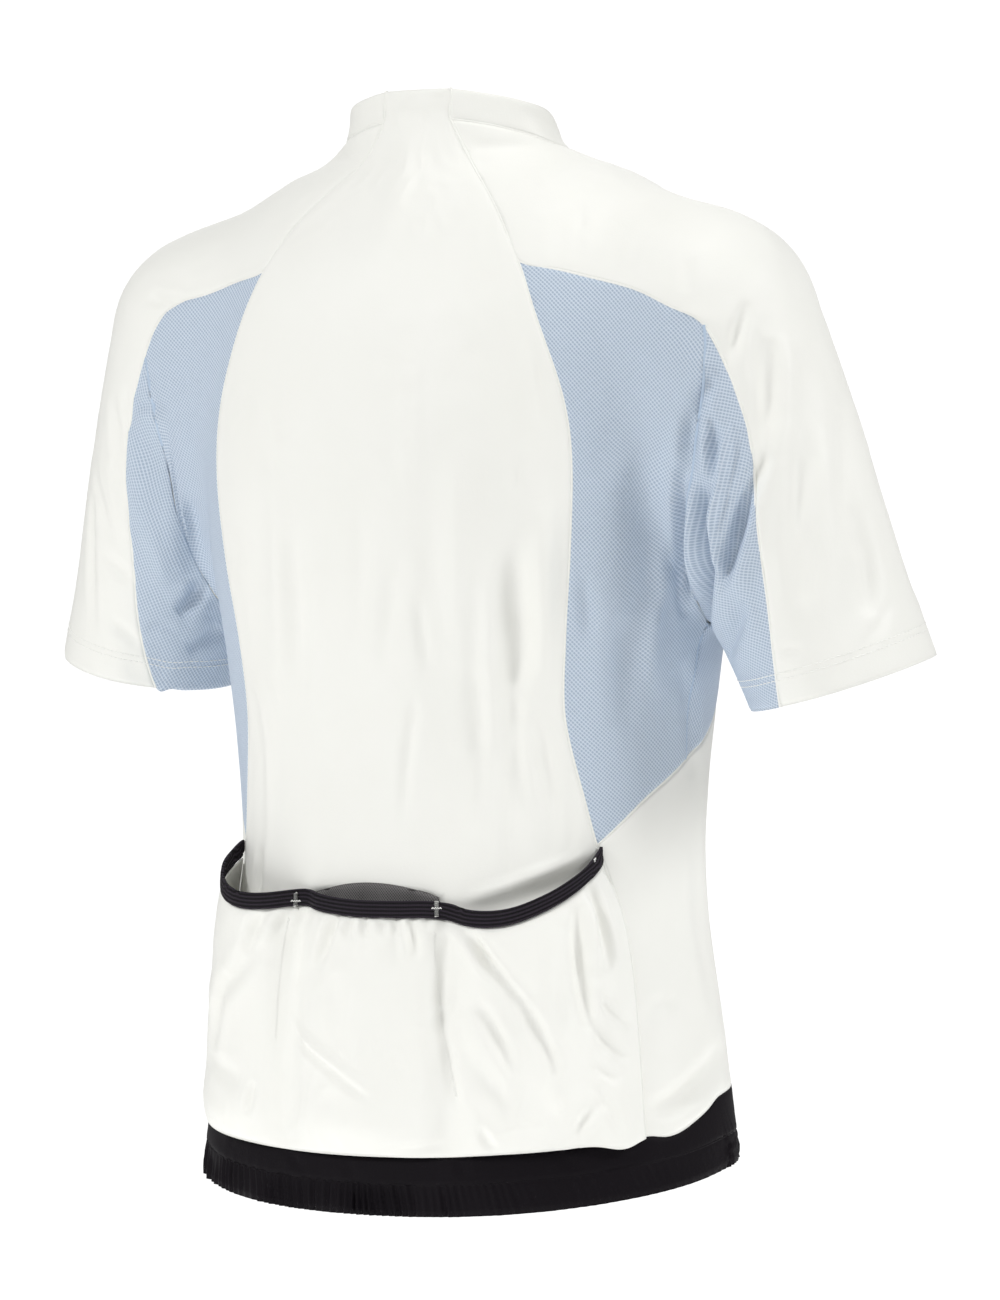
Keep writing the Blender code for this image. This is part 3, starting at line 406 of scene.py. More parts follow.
def laidPath(line, skin):
    # a bent line through three points in mm, laid on the cloth
    a, b, c = (np.array(p, float) * mm for p in line)
    t = np.linspace(0, 1, 25)[:, None]
    path = (1 - t)**2 * a + 2 * t * (1 - t) * (2 * b - (a + c) / 2) + t**2 * c
    found = [skin.find_nearest(Vector(p)) for p in path]
    return np.array([hit[0] for hit in found]), np.array([hit[1] for hit in found])


# a crease fades out in so many half widths, through the cloth and where the cloth turns away;
# hollow is the low opposite swell beside it, and deeper is by how much every row's height grows
creaseLook = {"reach": 3.5, "taper": 0.7, "through": 2.2, "turned": 0.5, "hollow": 0.22, "hollowAt": 2,
              "deeper": 1.7}


def creaseHeight(points, normals, path, facing, height, width, look):
    # a soft trough or ridge along the path
    reach = look["reach"] * width
    near = np.all((points > path.min(0) - reach) & (points < path.max(0) + reach), axis=1)
    out = np.zeros(len(points))
    if not near.any():
        return out
    p, n = points[near], normals[near]
    gap = p[:, None] - path
    apart = np.linalg.norm(gap, axis=2)
    k = apart.argmin(1)
    rows = np.arange(len(p))
    steps = np.gradient(path, axis=0)
    pace = np.linalg.norm(steps, axis=1) + 1e-9
    tangent = steps / pace[:, None]
    ahead = np.sum(gap[rows, k] * tangent[k], 1)
    past = np.where((k == 0) & (ahead < 0) | (k == len(path) - 1) & (ahead > 0), np.abs(ahead), 0)
    depth = np.sum(gap[rows, k] * facing[k], 1)
    across = np.sqrt(np.maximum(apart[rows, k]**2 - ahead**2 - depth**2, 0))
    place = np.clip((k + np.clip(ahead / pace[k], -0.5, 0.5)) / (len(path) - 1), 0, 1)
    along = np.sin(math.pi * place)**look["taper"] * np.exp(-(past / width)**2)
    turned = smoothStep(np.sum(n * facing[k], 1) / look["turned"])
    fade = np.exp(-(depth / (look["through"] * width))**2) * turned
    beside = np.exp(-((across - look["hollowAt"] * width) / width)**2)
    shape = np.exp(-(across / width)**2) - look["hollow"] * beside
    out[near] = height * along * fade * shape
    return out


# panels: thick is the cloth's thickness, uneven and fine the height of its broad waves and small wrinkles,
# proud how far it stands off its neighbours, all in mm; a group's creases run on from panel to panel

torsoAxis = ((0, 0.005, 0.05), (0, 0.005, -0.70))
sleeveAxes = {"left": ((0.177, 0.022, -0.118), (0.251, -0.011, -0.325)),
              "right": ((-0.177, 0.022, -0.118), (-0.251, -0.011, -0.325))}

plainPanel = {"levels": 3, "thick": 0.8, "uneven": 0.5, "fine": 0, "proud": 0, "group": "shell",
              "sleeve": None, "strip": False, "unwrap": "ANGLE_BASED"}
sidePanel = {"finish": blueMesh, "unwrap": "MINIMUM_STRETCH"}
collarPanel = {"finish": whiteKnit, "strip": True, "thick": 1.2, "uneven": 0.3}
panelLooks = {
    "back_panel": {"finish": whiteKnit, "fine": 1.2},
    "front_panel": {"finish": whiteKnit},
    "collar_left": collarPanel,
    "collar_right": collarPanel,
    "side_back_left": sidePanel,
    "side_back_right": sidePanel,
    "side_front_left": sidePanel,
    "side_front_right": sidePanel,
    "pocket_lining": {"finish": sheerMesh, "uneven": 0.2, "group": "lining", "proud": 0.5},
    "pocket_panel": {"finish": whiteKnit, "uneven": 0.8, "fine": 2.2, "group": "pocket"},
    "pocket_binding": {"finish": blackElastic, "strip": True, "thick": 2.0, "uneven": 0, "proud": 0.6,
                       "group": "binding"},
    "hem_band": {"finish": blackKnit, "strip": True, "uneven": 0.3, "group": "band"},
    "hem_casing": {"finish": blackKnit, "strip": True, "levels": 2, "uneven": 0, "group": "band"},
    "raglan_sleeve_left": {"finish": whiteKnit, "fine": 1.0, "sleeve": "left"},
    "raglan_sleeve_right": {"finish": whiteKnit, "fine": 1.0, "sleeve": "right"},
    "sleeve_under_left": {"finish": blueMesh, "sleeve": "left"},
    "sleeve_under_right": {"finish": blueMesh, "sleeve": "right"},
    "zip_tape": {"finish": zipTape, "levels": 2, "uneven": 0, "group": "zip"},
}
panelLooks = {node: {**plainPanel, **look} for node, look in panelLooks.items()}

# creases in mm: start, middle, end, height (minus for a trough), half width
creases = {
    "shell": [
        # back, long soft waves down to the waist
        ((72, 128, -193), (71, 121, -264), (77, 110, -341), 1.6, 9),
        ((61, 126, -243), (61, 117, -310), (69, 110, -369), -1.8, 9),
        ((-92, 116, -251), (-95, 107, -310), (-92, 106, -345), -3.6, 10),
        ((-91, 106, -319), (-89, 101, -383), (-102, 93, -455), -2.6, 7),
        ((-98, 100, -357), (-105, 92, -393), (-110, 87, -450), -2.4, 6),
        ((-114, 111, -230), (-111, 105, -276), (-106, 99, -337), 2.4, 8),
        ((-67, 129, -190), (-59, 122, -276), (-60, 113, -354), 1.6, 9),
        ((-83, 119, -261), (-78, 112, -319), (-77, 107, -382), 1.6, 7),
        ((-28, 118, -352), (-21, 117, -379), (-17, 118, -430), -1.3, 4),
        ((-65, 113, -330), (-68, 109, -372), (-66, 109, -436), -1.4, 7),
        ((-80, 106, -372), (-84, 103, -415), (-87, 102, -470), -1.8, 6),
        ((-32, 123, -288), (-33, 121, -310), (-36, 119, -332), -0.9, 3.5),
        ((108, 96, -341), (93, 101, -369), (98, 95, -465), 1.2, 5),
        ((-117, 84, -386), (-117, 82, -421), (-116, 82, -450), -1.0, 3),
        ((-99, 119, -202), (-99, 119, -213), (-99, 118, -226), -0.7, 3),
        ((5, 132, -222), (10, 126, -276), (13, 122, -320), -0.7, 6),
        ((-20, 128, -261), (-11, 124, -297), (-4, 121, -335), -1.0, 6),
        ((-25, 128, -125), (-26, 132, -172), (-27, 132, -220), 0.6, 4),
        ((-33, 128, -125), (-34, 132, -172), (-36, 131, -218), 0.6, 4),
        ((76, 125, -155), (72, 127, -180), (58, 129, -217), -0.9, 6),
        ((-106, 113, -130), (-110, 114, -155), (-112, 114, -182), -0.9, 4),
        ((40, 128, -380), (36, 122, -420), (42, 122, -470), -0.9, 8),
        # back, where it shows inside the pockets
        ((-57, 114, -475), (-96, 97, -460), (-130, 69, -442), 1.3, 3),
        ((-62, 112, -484), (-101, 94, -470), (-131, 70, -452), -2.4, 7),
        ((103, 91, -444), (105, 91, -462), (107, 90, -485), -2.0, 4),
        # shoulders and collar
        ((-33, 73, -6), (-56, 64, -5), (-76, 47, -5), -0.6, 4),
        ((40, 74, -10), (58, 62, -8), (72, 49, -8), -0.8, 4),
        ((-197, 81, -80), (-199, 85, -93), (-199, 88, -103), -0.8, 4),
        ((-117, 71, -42), (-121, 79, -53), (-124, 85, -64), -0.5, 3),
        ((-231, 69, -108), (-228, 75, -128), (-222, 79, -147), -1.6, 4),
        ((-233, 70, -118), (-234, 71, -150), (-238, 70, -182), 1.0, 5),
        ((-243, 60, -130), (-244, 63, -166), (-242, 67, -202), -2.2, 6.5),
        ((-248, 50, -128), (-251, 57, -166), (-250, 60, -214), 1.2, 8),
        ((192, 87, -92), (176, 91, -97), (158, 94, -100), -1.3, 4),
        # right sleeve
        ((-260, 53, -203), (-259, 54, -225), (-258, 55, -250), -1.0, 4),
        ((-268, 6, -155), (-277, 26, -211), (-284, 32, -262), -1.8, 10),
        ((-283, 22, -232), (-290, 23, -273), (-293, 27, -300), -2.0, 8),
        ((-265, 51, -240), (-266, 50, -273), (-260, 53, -292), -1.5, 8),
        ((-249, 59, -180), (-253, 59, -215), (-248, 57, -290), 1.4, 9),
        ((-268, 36, -185), (-274, 41, -242), (-272, 45, -308), 1.6, 9),
        ((-301, 6, -285), (-298, 20, -302), (-290, 34, -322), -0.6, 3.5),
        ((-285, 39, -321), (-282, 40, -329), (-277, 42, -340), -0.4, 3),
        ((-242, 51, -321), (-251, 50, -320), (-262, 50, -318), -0.9, 3.5),
        # under the right arm: overlapping folds
        ((-216, 84, -150), (-209, 82, -166), (-202, 80, -180), -4.5, 4.5),
        ((-204, 80, -174), (-198, 78, -195), (-192, 71, -224), -5.0, 5),
        ((-214, 81, -160), (-208, 80, -178), (-203, 76, -205), 2.2, 5),
        ((-209, 82, -168), (-214, 78, -198), (-212, 70, -238), -2.6, 3.5),
        ((-244, 64, -200), (-228, 67, -236), (-207, 52, -284), -5.5, 4),
        ((-226, 75, -184), (-219, 77, -206), (-206, 64, -256), 3.0, 3.5),
        ((-232, 66, -256), (-222, 61, -275), (-205, 50, -284), 2.2, 6),
        ((-202, 76, -212), (-197, 56, -269), (-175, 12, -306), -9.0, 6),
        ((-218, 75, -221), (-208, 68, -247), (-211, 58, -274), 3.6, 3),
        ((-221, 54, -290), (-212, 48, -306), (-197, 29, -321), -3.0, 6),
        ((-240, 52, -262), (-236, 55, -285), (-238, 52, -310), -1.2, 7),
        # right side of the body
        ((-190, 74, -208), (-181, 58, -247), (-165, 24, -300), -6.5, 4),
        ((-192, 69, -225), (-187, 56, -258), (-169, 29, -296), 1.8, 4),
        ((-167, 44, -270), (-157, 51, -304), (-154, 43, -350), 2.6, 7),
        ((-146, 70, -300), (-144, 66, -331), (-143, 61, -372), -2.0, 8),
        ((-131, 92, -275), (-130, 89, -298), (-132, 85, -318), -1.4, 6),
        ((-125, 97, -270), (-125, 94, -291), (-125, 90, -316), 1.0, 4),
        ((-165, 55, -250), (-163, 52, -274), (-162, 45, -292), 1.0, 5),
        ((-176, 25, -330), (-172, 10, -360), (-160, 2, -400), -2.0, 7),
        # left sleeve and under it
        ((203, 84, -166), (192, 87, -163), (177, 86, -167), -1.8, 3.5),
        ((194, 88, -143), (190, 89, -147), (185, 89, -152), -0.8, 3),
        ((174, 68, -222), (178, 58, -247), (180, 45, -272), -4.0, 6),
        ((184, 38, -270), (187, 40, -284), (197, 46, -297), -4.5, 5),
        ((183, 17, -303), (188, 23, -312), (198, 32, -321), -2.4, 5),
        ((217, 50, -309), (210, 48, -304), (200, 42, -307), -0.8, 3),
        ((205, 62, -240), (200, 60, -262), (203, 56, -282), 1.2, 7),
        ((227, 75, -155), (221, 77, -189), (216, 74, -230), -1.4, 5),
        ((230, 74, -197), (223, 73, -217), (217, 71, -238), -1.8, 4.5),
        ((213, 83, -152), (211, 82, -165), (210, 80, -178), -1.4, 4),
        ((250, 60, -204), (242, 66, -228), (232, 66, -252), -1.3, 4),
        ((245, 61, -255), (232, 63, -267), (217, 60, -275), -1.3, 5),
        ((244, 54, -301), (233, 53, -308), (222, 48, -316), -1.2, 4),
        ((253, 60, -215), (257, 56, -260), (258, 51, -312), -1.4, 4),
        # fronts, which the pull of the chest and the zip shape
        ((20, -105, -150), (30, -118, -205), (26, -122, -265), -1.2, 8),
        ((-24, -108, -165), (-34, -118, -215), (-30, -121, -280), -1.2, 8),
        ((60, -112, -180), (80, -110, -240), (76, -105, -320), 1.6, 10),
        ((-66, -110, -190), (-84, -108, -250), (-82, -102, -330), 1.6, 10),
        ((30, -116, -345), (48, -108, -400), (52, -98, -470), -1.8, 9),
        ((-34, -116, -350), (-50, -107, -410), (-48, -98, -480), -1.8, 9),
        ((120, -88, -300), (112, -86, -370), (118, -74, -450), -1.6, 9),
        ((-124, -86, -310), (-114, -85, -380), (-120, -72, -460), -1.6, 9),
        ((10, -100, -470), (14, -92, -530), (4, -88, -590), -1.4, 9),
        ((90, -84, -500), (100, -74, -550), (94, -72, -600), 1.4, 10),
        ((-92, -84, -510), (-104, -72, -560), (-96, -71, -605), 1.4, 10),
        ((160, -60, -160), (148, -80, -190), (132, -92, -220), -2.2, 7),
        ((-160, -60, -165), (-150, -78, -195), (-130, -93, -225), -2.2, 7),
        ((222, -50, -170), (212, -62, -215), (208, -62, -265), -2.2, 7),
        ((-224, -48, -175), (-212, -62, -220), (-209, -61, -270), -2.2, 7),
        ((270, -20, -190), (276, -24, -240), (284, -26, -290), -1.6, 9),
        ((-270, -20, -195), (-278, -22, -245), (-285, -26, -295), -1.6, 9),
        ((240, -58, -220), (244, -58, -260), (240, -58, -310), 1.4, 8),
        ((-240, -58, -225), (-246, -57, -265), (-241, -57, -315), 1.4, 8),
        ((150, 0, -430), (158, 2, -480), (160, 0, -540), -1.6, 9),
        ((-152, -10, -440), (-160, -6, -490), (-162, -6, -550), -1.4, 9),
        # fronts' lower corners beside the pockets
        ((-158, 62, -604), (-171, 30, -591), (-170, -16, -566), -3.4, 6),
        ((-164, 55, -616), (-174, 24, -606), (-172, -14, -586), 1.8, 5),
        ((-152, 58, -549), (-157, 47, -540), (-163, 28, -536), -0.9, 5),
        ((164, 40, -598), (172, 10, -588), (168, -24, -570), -2.6, 7),
    ],
    "pocket": [
        # puckers where the elastic draws the cloth in
        ((72, 123, -474), (89, 123, -495), (95, 122, -512), -2.4, 4.5),
        ((58, 120, -474), (66, 121, -487), (73, 123, -499), -1.2, 3.5),
        ((20, 131, -478), (28, 131, -495), (38, 131, -520), -2.8, 4),
        ((14, 132, -480), (13, 132, -490), (13, 133, -500), -1.6, 3),
        ((1, 132, -480), (2, 133, -489), (3, 134, -499), -1.8, 3),
        ((-11, 132, -480), (-11, 132, -488), (-10, 133, -497), -1.6, 3),
        ((-18, 130, -480), (-19, 131, -487), (-21, 131, -496), -1.8, 3),
        ((-28, 128, -480), (-31, 129, -494), (-35, 129, -510), -2.0, 3.5),
        ((-37, 125, -480), (-38, 126, -487), (-38, 126, -496), -1.6, 3),
        ((-52, 120, -494), (-49, 124, -524), (-53, 125, -574), -1.1, 3.5),
        ((-52, 125, -560), (-56, 124, -580), (-64, 126, -604), -0.9, 3.5),
        ((-46, 124, -504), (-45, 127, -540), (-52, 125, -580), 0.7, 3.5),
        ((6, 133, -484), (5, 134, -493), (2, 135, -510), 1.2, 3),
        ((-24, 130, -484), (-26, 131, -496), (-28, 131, -512), 1.4, 3),
        # long diagonal folds of the right pocket
        ((-46, 120, -478), (-80, 122, -510), (-100, 120, -534), -2.6, 3.5),
        ((-94, 121, -526), (-110, 116, -548), (-123, 109, -582), -2.2, 4),
        ((-60, 123, -478), (-73, 123, -500), (-84, 123, -522), -2.0, 3.5),
        ((-72, 124, -535), (-89, 123, -558), (-99, 121, -582), -2.0, 4),
        ((-127, 94, -475), (-131, 97, -512), (-138, 95, -553), -3.2, 4),
        ((-136, 97, -546), (-145, 87, -561), (-153, 73, -572), -2.2, 3.5),
        ((-128, 86, -458), (-137, 81, -484), (-142, 80, -516), -3.0, 3.5),
        ((-134, 86, -470), (-136, 87, -495), (-138, 89, -520), 1.8, 4),
        ((-139, 90, -529), (-145, 83, -542), (-152, 67, -553), -1.4, 3),
        ((-140, 94, -573), (-145, 90, -579), (-150, 82, -584), -1.2, 3),
        ((-120, 106, -490), (-121, 110, -520), (-122, 108, -548), 1.4, 6),
        # left pocket's wrinkles, and the belly that hangs over the band
        ((64, 121, -550), (30, 137, -571), (-8, 139, -594), 1.4, 3),
        ((60, 121, -557), (26, 137, -578), (-10, 139, -600), -1.0, 3),
        ((91, 123, -591), (91, 123, -600), (95, 123, -612), -1.6, 3.5),
        ((-9, 135, -631), (-30, 133, -628), (-55, 127, -624), -1.2, 3),
        ((-79, 127, -611), (-82, 126, -620), (-88, 123, -628), -1.2, 3),
        ((-133, 98, -627), (-134, 102, -611), (-146, 91, -596), -1.6, 4),
        ((-140, 95, -586), (-146, 90, -598), (-152, 81, -616), -1.2, 3.5),
        ((115, 116, -522), (125, 111, -545), (130, 106, -574), -2.0, 6),
        ((123, 112, -545), (103, 121, -522), (79, 124, -504), -1.8, 6),
        ((142, 94, -576), (118, 114, -586), (102, 120, -594), -1.6, 6),
        ((-66, 126, -564), (-88, 125, -593), (-99, 123, -612), -1.8, 8),
        ((-122, 109, -560), (-121, 112, -588), (-134, 103, -616), -1.6, 7),
        ((20, 136, -520), (18, 138, -550), (24, 138, -580), -1.4, 8),
    ],
    "band": [
        # short puckers under the band's seam
        ((60, 122, -632), (58, 121, -637), (54, 120, -645), -0.9, 3),
        ((20, 126, -634), (16, 126, -640), (15, 125, -648), -0.8, 3),
        ((-60, 124, -630), (-62, 123, -636), (-66, 122, -646), -0.8, 3),
        ((-120, 104, -626), (-124, 103, -632), (-128, 101, -640), -0.8, 3),
        ((110, 105, -622), (116, 102, -628), (118, 101, -636), -0.9, 3),
    ],
    "lining": [
        # the sheer cloth hangs in upright folds
        ((38, 122, -468), (37, 122, -490), (38, 122, -530), -1.4, 3),
        ((22, 124, -468), (24, 124, -492), (20, 124, -535), 1.2, 3),
        ((8, 126, -468), (9, 126, -488), (6, 126, -520), -1.4, 3),
        ((-8, 126, -468), (-6, 126, -495), (-9, 126, -540), 1.2, 3.5),
        ((-24, 124, -468), (-25, 124, -488), (-22, 124, -525), -1.2, 3),
        ((-38, 121, -468), (-36, 121, -492), (-38, 121, -530), 1.0, 3),
    ],
}

# hem: the line between the band and its gathered casing, as distance behind the axis and height
bandLine = ((-0.100, -0.6186), (-0.050, -0.6190), (0.000, -0.6235), (0.030, -0.6290), (0.064, -0.6355),
            (0.099, -0.6430), (0.131, -0.6504))
gatherLook = {"casing": 19.5 * mm, "wave": 5.6 * mm, "depth": 1.3 * mm, "lean": 9 * mm, "upward": 7 * mm,
              "radius": 155 * mm, "wander": 1.1, "wanders": 22, "swell": 1.3, "swells": 34,
              "second": 0.45, "secondPace": 0.53, "atSeam": 0.35,
              "calm": 0.75, "calmFrom": -20 * mm, "calmRun": 90 * mm}


def gathers(points, look):
    # small folds that the hem's elastic draws up: uneven in width and depth, leaning to one side,
    # strongest on the casing, and calmer towards the back's right
    line = np.array(bandLine)
    down = np.interp(points[:, 1], line[:, 0], line[:, 1]) - points[:, 2]
    share = down / look["casing"]
    run = np.arctan2(points[:, 0], points[:, 1] - torsoAxis[0][1]) * look["radius"]
    wander, swell = (np.array([noise.noise(Vector((s * pace, row, t * 0.5))) for s, t in zip(run, share)])
                     for pace, row in ((look["wanders"], 0.3), (look["swells"], 7.1)))
    lean = look["lean"] * share * np.clip(0.35 - run * 2, 0.1, 1)    # most towards the back's right
    turns = (run + lean) / look["wave"] + look["wander"] * wander
    second = np.sin(2 * math.pi * turns * look["secondPace"] + 1)
    fold = np.sin(2 * math.pi * turns) + look["second"] * second
    uneven = np.clip(0.8 + look["swell"] * swell, 0.1, 2)
    rightBack = smoothStep((look["calmFrom"] - points[:, 0]) / look["calmRun"]) * (points[:, 1] > 0)
    below = look["atSeam"] + (1 - look["atSeam"]) * smoothStep(share / 0.5)
    above = look["atSeam"] * np.exp(np.minimum(down, 0) / look["upward"])
    height = look["depth"] * fold * uneven * (1 - look["calm"] * rightBack)
    return height * np.where(down > 0, below, above)


pieceOf, cutOf = {}, {}
for node, look in panelLooks.items():
    axis = sleeveAxes.get(look["sleeve"], torsoAxis)
    upward = (Vector(axis[0]) - Vector(axis[1])).normalized()
    bm = outerFace(node, axis, node != "hem_casing", wallLook)
    if node == "hem_casing":    # its even gathers give way to uneven ones
        evenRing(bm, ringLook)
    pieceOf[node], cutOf[node] = smoothSheet("cloth_" + node, bm, look["levels"], upward, look["unwrap"])
print("panels laid on their solids")

sheets = {node: (pointsOf(piece.data), pointsOf(piece.data, "vertex_normals", "vector"))
          for node, piece in pieceOf.items()}
groups = {}
for node, look in panelLooks.items():
    groups.setdefault(look["group"], []).append(node)

heights = {node: np.zeros(len(points)) for node, (points, _) in sheets.items()}
for group, rows in creases.items():
    skin = skinOf(groups[group])
    for *line, height, width in rows:
        path, facing = laidPath(line, skin)
        for node in groups[group]:
            heights[node] += creaseHeight(*sheets[node], path, facing, height * creaseLook["deeper"] * mm,
                                          width * mm, creaseLook)
    print("creases made,", group)

# waves, wrinkles and creases reach their full height so far in from a sheet's edge
unevenLook = {"grain": 36 * mm, "edge": 8 * mm}


def unevenHang(points, grain):
    # broad soft waves, longer than they are wide
    return np.array([noise.noise(Vector((x, y, z * 0.45)) / grain)
                     + 0.5 * noise.noise(Vector((x, y, z * 0.6)) * 2.3 / grain) for x, y, z in points])


wrinkleLook = {"crest": 0.35, "pace": 75, "patches": 20, "patchShare": 0.4, "edge": 6 * mm}


def fineWrinkles(points, look):
    # small sharp wrinkles, in patches
    sharp = np.array([look["crest"] - abs(noise.noise(Vector((x, y, z * 0.7)) * look["pace"]))
                      for x, y, z in points])
    patchy = np.array([noise.noise(Vector(p) * look["patches"]) for p in points])
    return sharp * np.clip(patchy + look["patchShare"], 0, 1)


bulgeLook = {"spot": (-150, 78, -624), "radius": 13 * mm, "down": 4.5 * mm, "out": 3.5 * mm}


def sagOver(points, normals, look):
    # the pocket's lower corner sags over the band
    near = np.exp(-np.sum((points - np.array(look["spot"]) * mm)**2, 1) / look["radius"]**2)
    points[:, 2] -= look["down"] * near
    points += normals * (look["out"] * near)[:, None]


archLook = {"rise": 2.5 * mm, "half": 58 * mm, "reach": 26 * mm}


def archUp(points, look):
    # the grey insert's top edge arches up
    high = smoothStep(1 - (points[:, 2].max() - points[:, 2]) / look["reach"])
    points[:, 2] += look["rise"] * high * np.clip(1 - (points[:, 0] / look["half"])**4, 0, 1)


def wayOut(mesh, points, rows):
    # the direction out of the sheet at each point of its open edges
    beside = {k: [] for row in rows for k in row}
    for line in mesh.edges:
        a, b = line.vertices
        if a in beside and b not in beside:
            beside[a].append(b)
        elif b in beside and a not in beside:
            beside[b].append(a)
    away = np.zeros_like(points)
    for k, inner in beside.items():
        if inner:
            away[k] = points[k] - points[inner].mean(0)
            away[k] /= np.linalg.norm(away[k])
    return away


creaseEdge = {"atEdge": 0.5, "edge": 12 * mm}
rimLook = {"turn": 0.35 * mm, "turnWide": 1.5 * mm, "overlap": 0.2 * mm}

rims = {}
for node, piece in pieceOf.items():
    look = panelLooks[node]
    points, normals = sheets[node]
    rows = rimRows(piece.data)
    tree = treeOf(points, [k for row in rows for k in row])
    edge = np.array([tree.find(p)[2] for p in points])
    inward = creaseEdge["atEdge"] + (1 - creaseEdge["atEdge"]) * smoothStep(edge / creaseEdge["edge"])
    height = heights[node] * inward + look["proud"] * mm
    if look["uneven"]:
        waves = unevenHang(points, unevenLook["grain"])
        height += look["uneven"] * mm * smoothStep(edge / unevenLook["edge"]) * waves
    if look["fine"]:
        wrinkles = fineWrinkles(points, wrinkleLook)
        height += look["fine"] * mm * smoothStep(edge / wrinkleLook["edge"]) * wrinkles
    if look["group"] == "band":
        height += gathers(points, gatherLook)
    height -= rimLook["turn"] * np.exp(-(edge / rimLook["turnWide"])**2)
    points = points + normals * height[:, None]
    if node == "pocket_panel":
        sagOver(points, normals, bulgeLook)
    if node == "pocket_lining":
        archUp(points, archLook)
    away = wayOut(piece.data, points, rows)
    outer = points + away * rimLook["overlap"]    # neighbouring edges meet
    setPoints(piece.data, outer)
    rims[node] = [(outer[row], normals[row], away[row]) for row in rows]
print("panels shaped")

bindingLook = {"wide": 11 * mm, "upright": 0.3}


def bindingWeave(look):
    # the binding's ribs follow its two long edges
    ends = np.vstack([row[0] for row in rims["pocket_binding"]])
    side = np.concatenate([row[2][:, 2] for row in rims["pocket_binding"]])
    upperTree = treeOf(ends, np.flatnonzero(side > look["upright"]))
    lowerTree = treeOf(ends, np.flatnonzero(side < -look["upright"]))
    mesh = pieceOf["pocket_binding"].data
    shares = []
    for p in pointsOf(mesh):
        above, below = upperTree.find(p)[2], lowerTree.find(p)[2]
        shares.append(below / (above + below) * look["wide"])
    layer = mesh.uv_layers["weave"].data
    for loop in mesh.loops:
        layer[loop.index].uv[1] = shares[loop.vertex_index]


bindingWeave(bindingLook)

for node, piece in pieceOf.items():
    look = panelLooks[node]
    shell = piece.modifiers.new("cloth", "SOLIDIFY")
    shell.thickness, shell.offset = look["thick"] * mm, -1
    piece.data.materials.clear()
    piece.data.materials.append(look["finish"])
    for polygon in piece.data.polygons:
        polygon.use_smooth = True
    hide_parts(node)
    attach(piece, "garment")
    print(node, 4 * len(piece.data.polygons), "triangles")
print("panels finished")


# thread work

def threads(name, paths, radius, finish, rounding=2):
    # rows of points turned into round threads
    curve = bpy.data.curves.new(name, "CURVE")
    curve.dimensions = "3D"
    curve.bevel_depth, curve.bevel_resolution, curve.use_fill_caps = radius, rounding, True
    for path in paths:
        spline = curve.splines.new("POLY")
        spline.points.add(len(path) - 1)
        for k, p in enumerate(path):
            spline.points[k].co = (*p, 1)
    source = bpy.data.objects.new(name, curve)
    bpy.context.scene.collection.objects.link(source)
    mesh = bpy.data.meshes.new_from_object(source.evaluated_get(bpy.context.evaluated_depsgraph_get()))
    bpy.data.objects.remove(source)
    made = bpy.data.objects.new(name, mesh)
    bpy.context.scene.collection.objects.link(made)
    mesh.materials.clear()
    mesh.materials.append(finish)
    for polygon in mesh.polygons:
        polygon.use_smooth = True
    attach(made, "garment")
    return made


def eased(path, times):
    # a path with its small bends evened out and its ends kept
    path = np.array(path)
    for _ in range(times):
        path[1:-1] = (path[:-2] + 2 * path[1:-1] + path[2:]) / 4
    return path


# two edges make a seam where they lie within reach and don't point the same way; short runs are left out
seamLook = {"reach": 2.6 * mm, "opposed": 0.3, "least": 6, "eased": 4}


def seamPaths(first, others, sunk, look):
    # the lines where one sheet's edge meets the edges of others, a little under the surface
    marks, ways = [], []
    for node in others:
        for row, _, away in rims[node]:
            for share in (0, 0.25, 0.5, 0.75):
                marks.append(row * (1 - share) + np.roll(row, -1, axis=0) * share)
                ways.append(away)
    marks, ways = np.vstack(marks), np.vstack(ways)
    tree = treeOf(marks, range(len(marks)))
    paths = []
    for row, normals, away in rims[first]:
        found = [tree.find(p) for p in row]
        opposed = np.sum(away * ways[[hit[1] for hit in found]], axis=1) < look["opposed"]
        close = np.array([hit[2] < look["reach"] for hit in found]) & opposed
        middle = (row + np.array([hit[0] for hit in found])) / 2 - normals * sunk
        turn = 0 if close.all() else int(np.argmin(close))
        close, middle = np.roll(close, -turn), np.roll(middle, -turn, axis=0)
        run = []
        for ok, p in zip(np.append(close, False), np.vstack((middle, middle[:1]))):
            if ok:
                run.append(p)
            else:
                if len(run) > look["least"]:
                    paths.append(eased(run, look["eased"]))
                run = []
    return paths


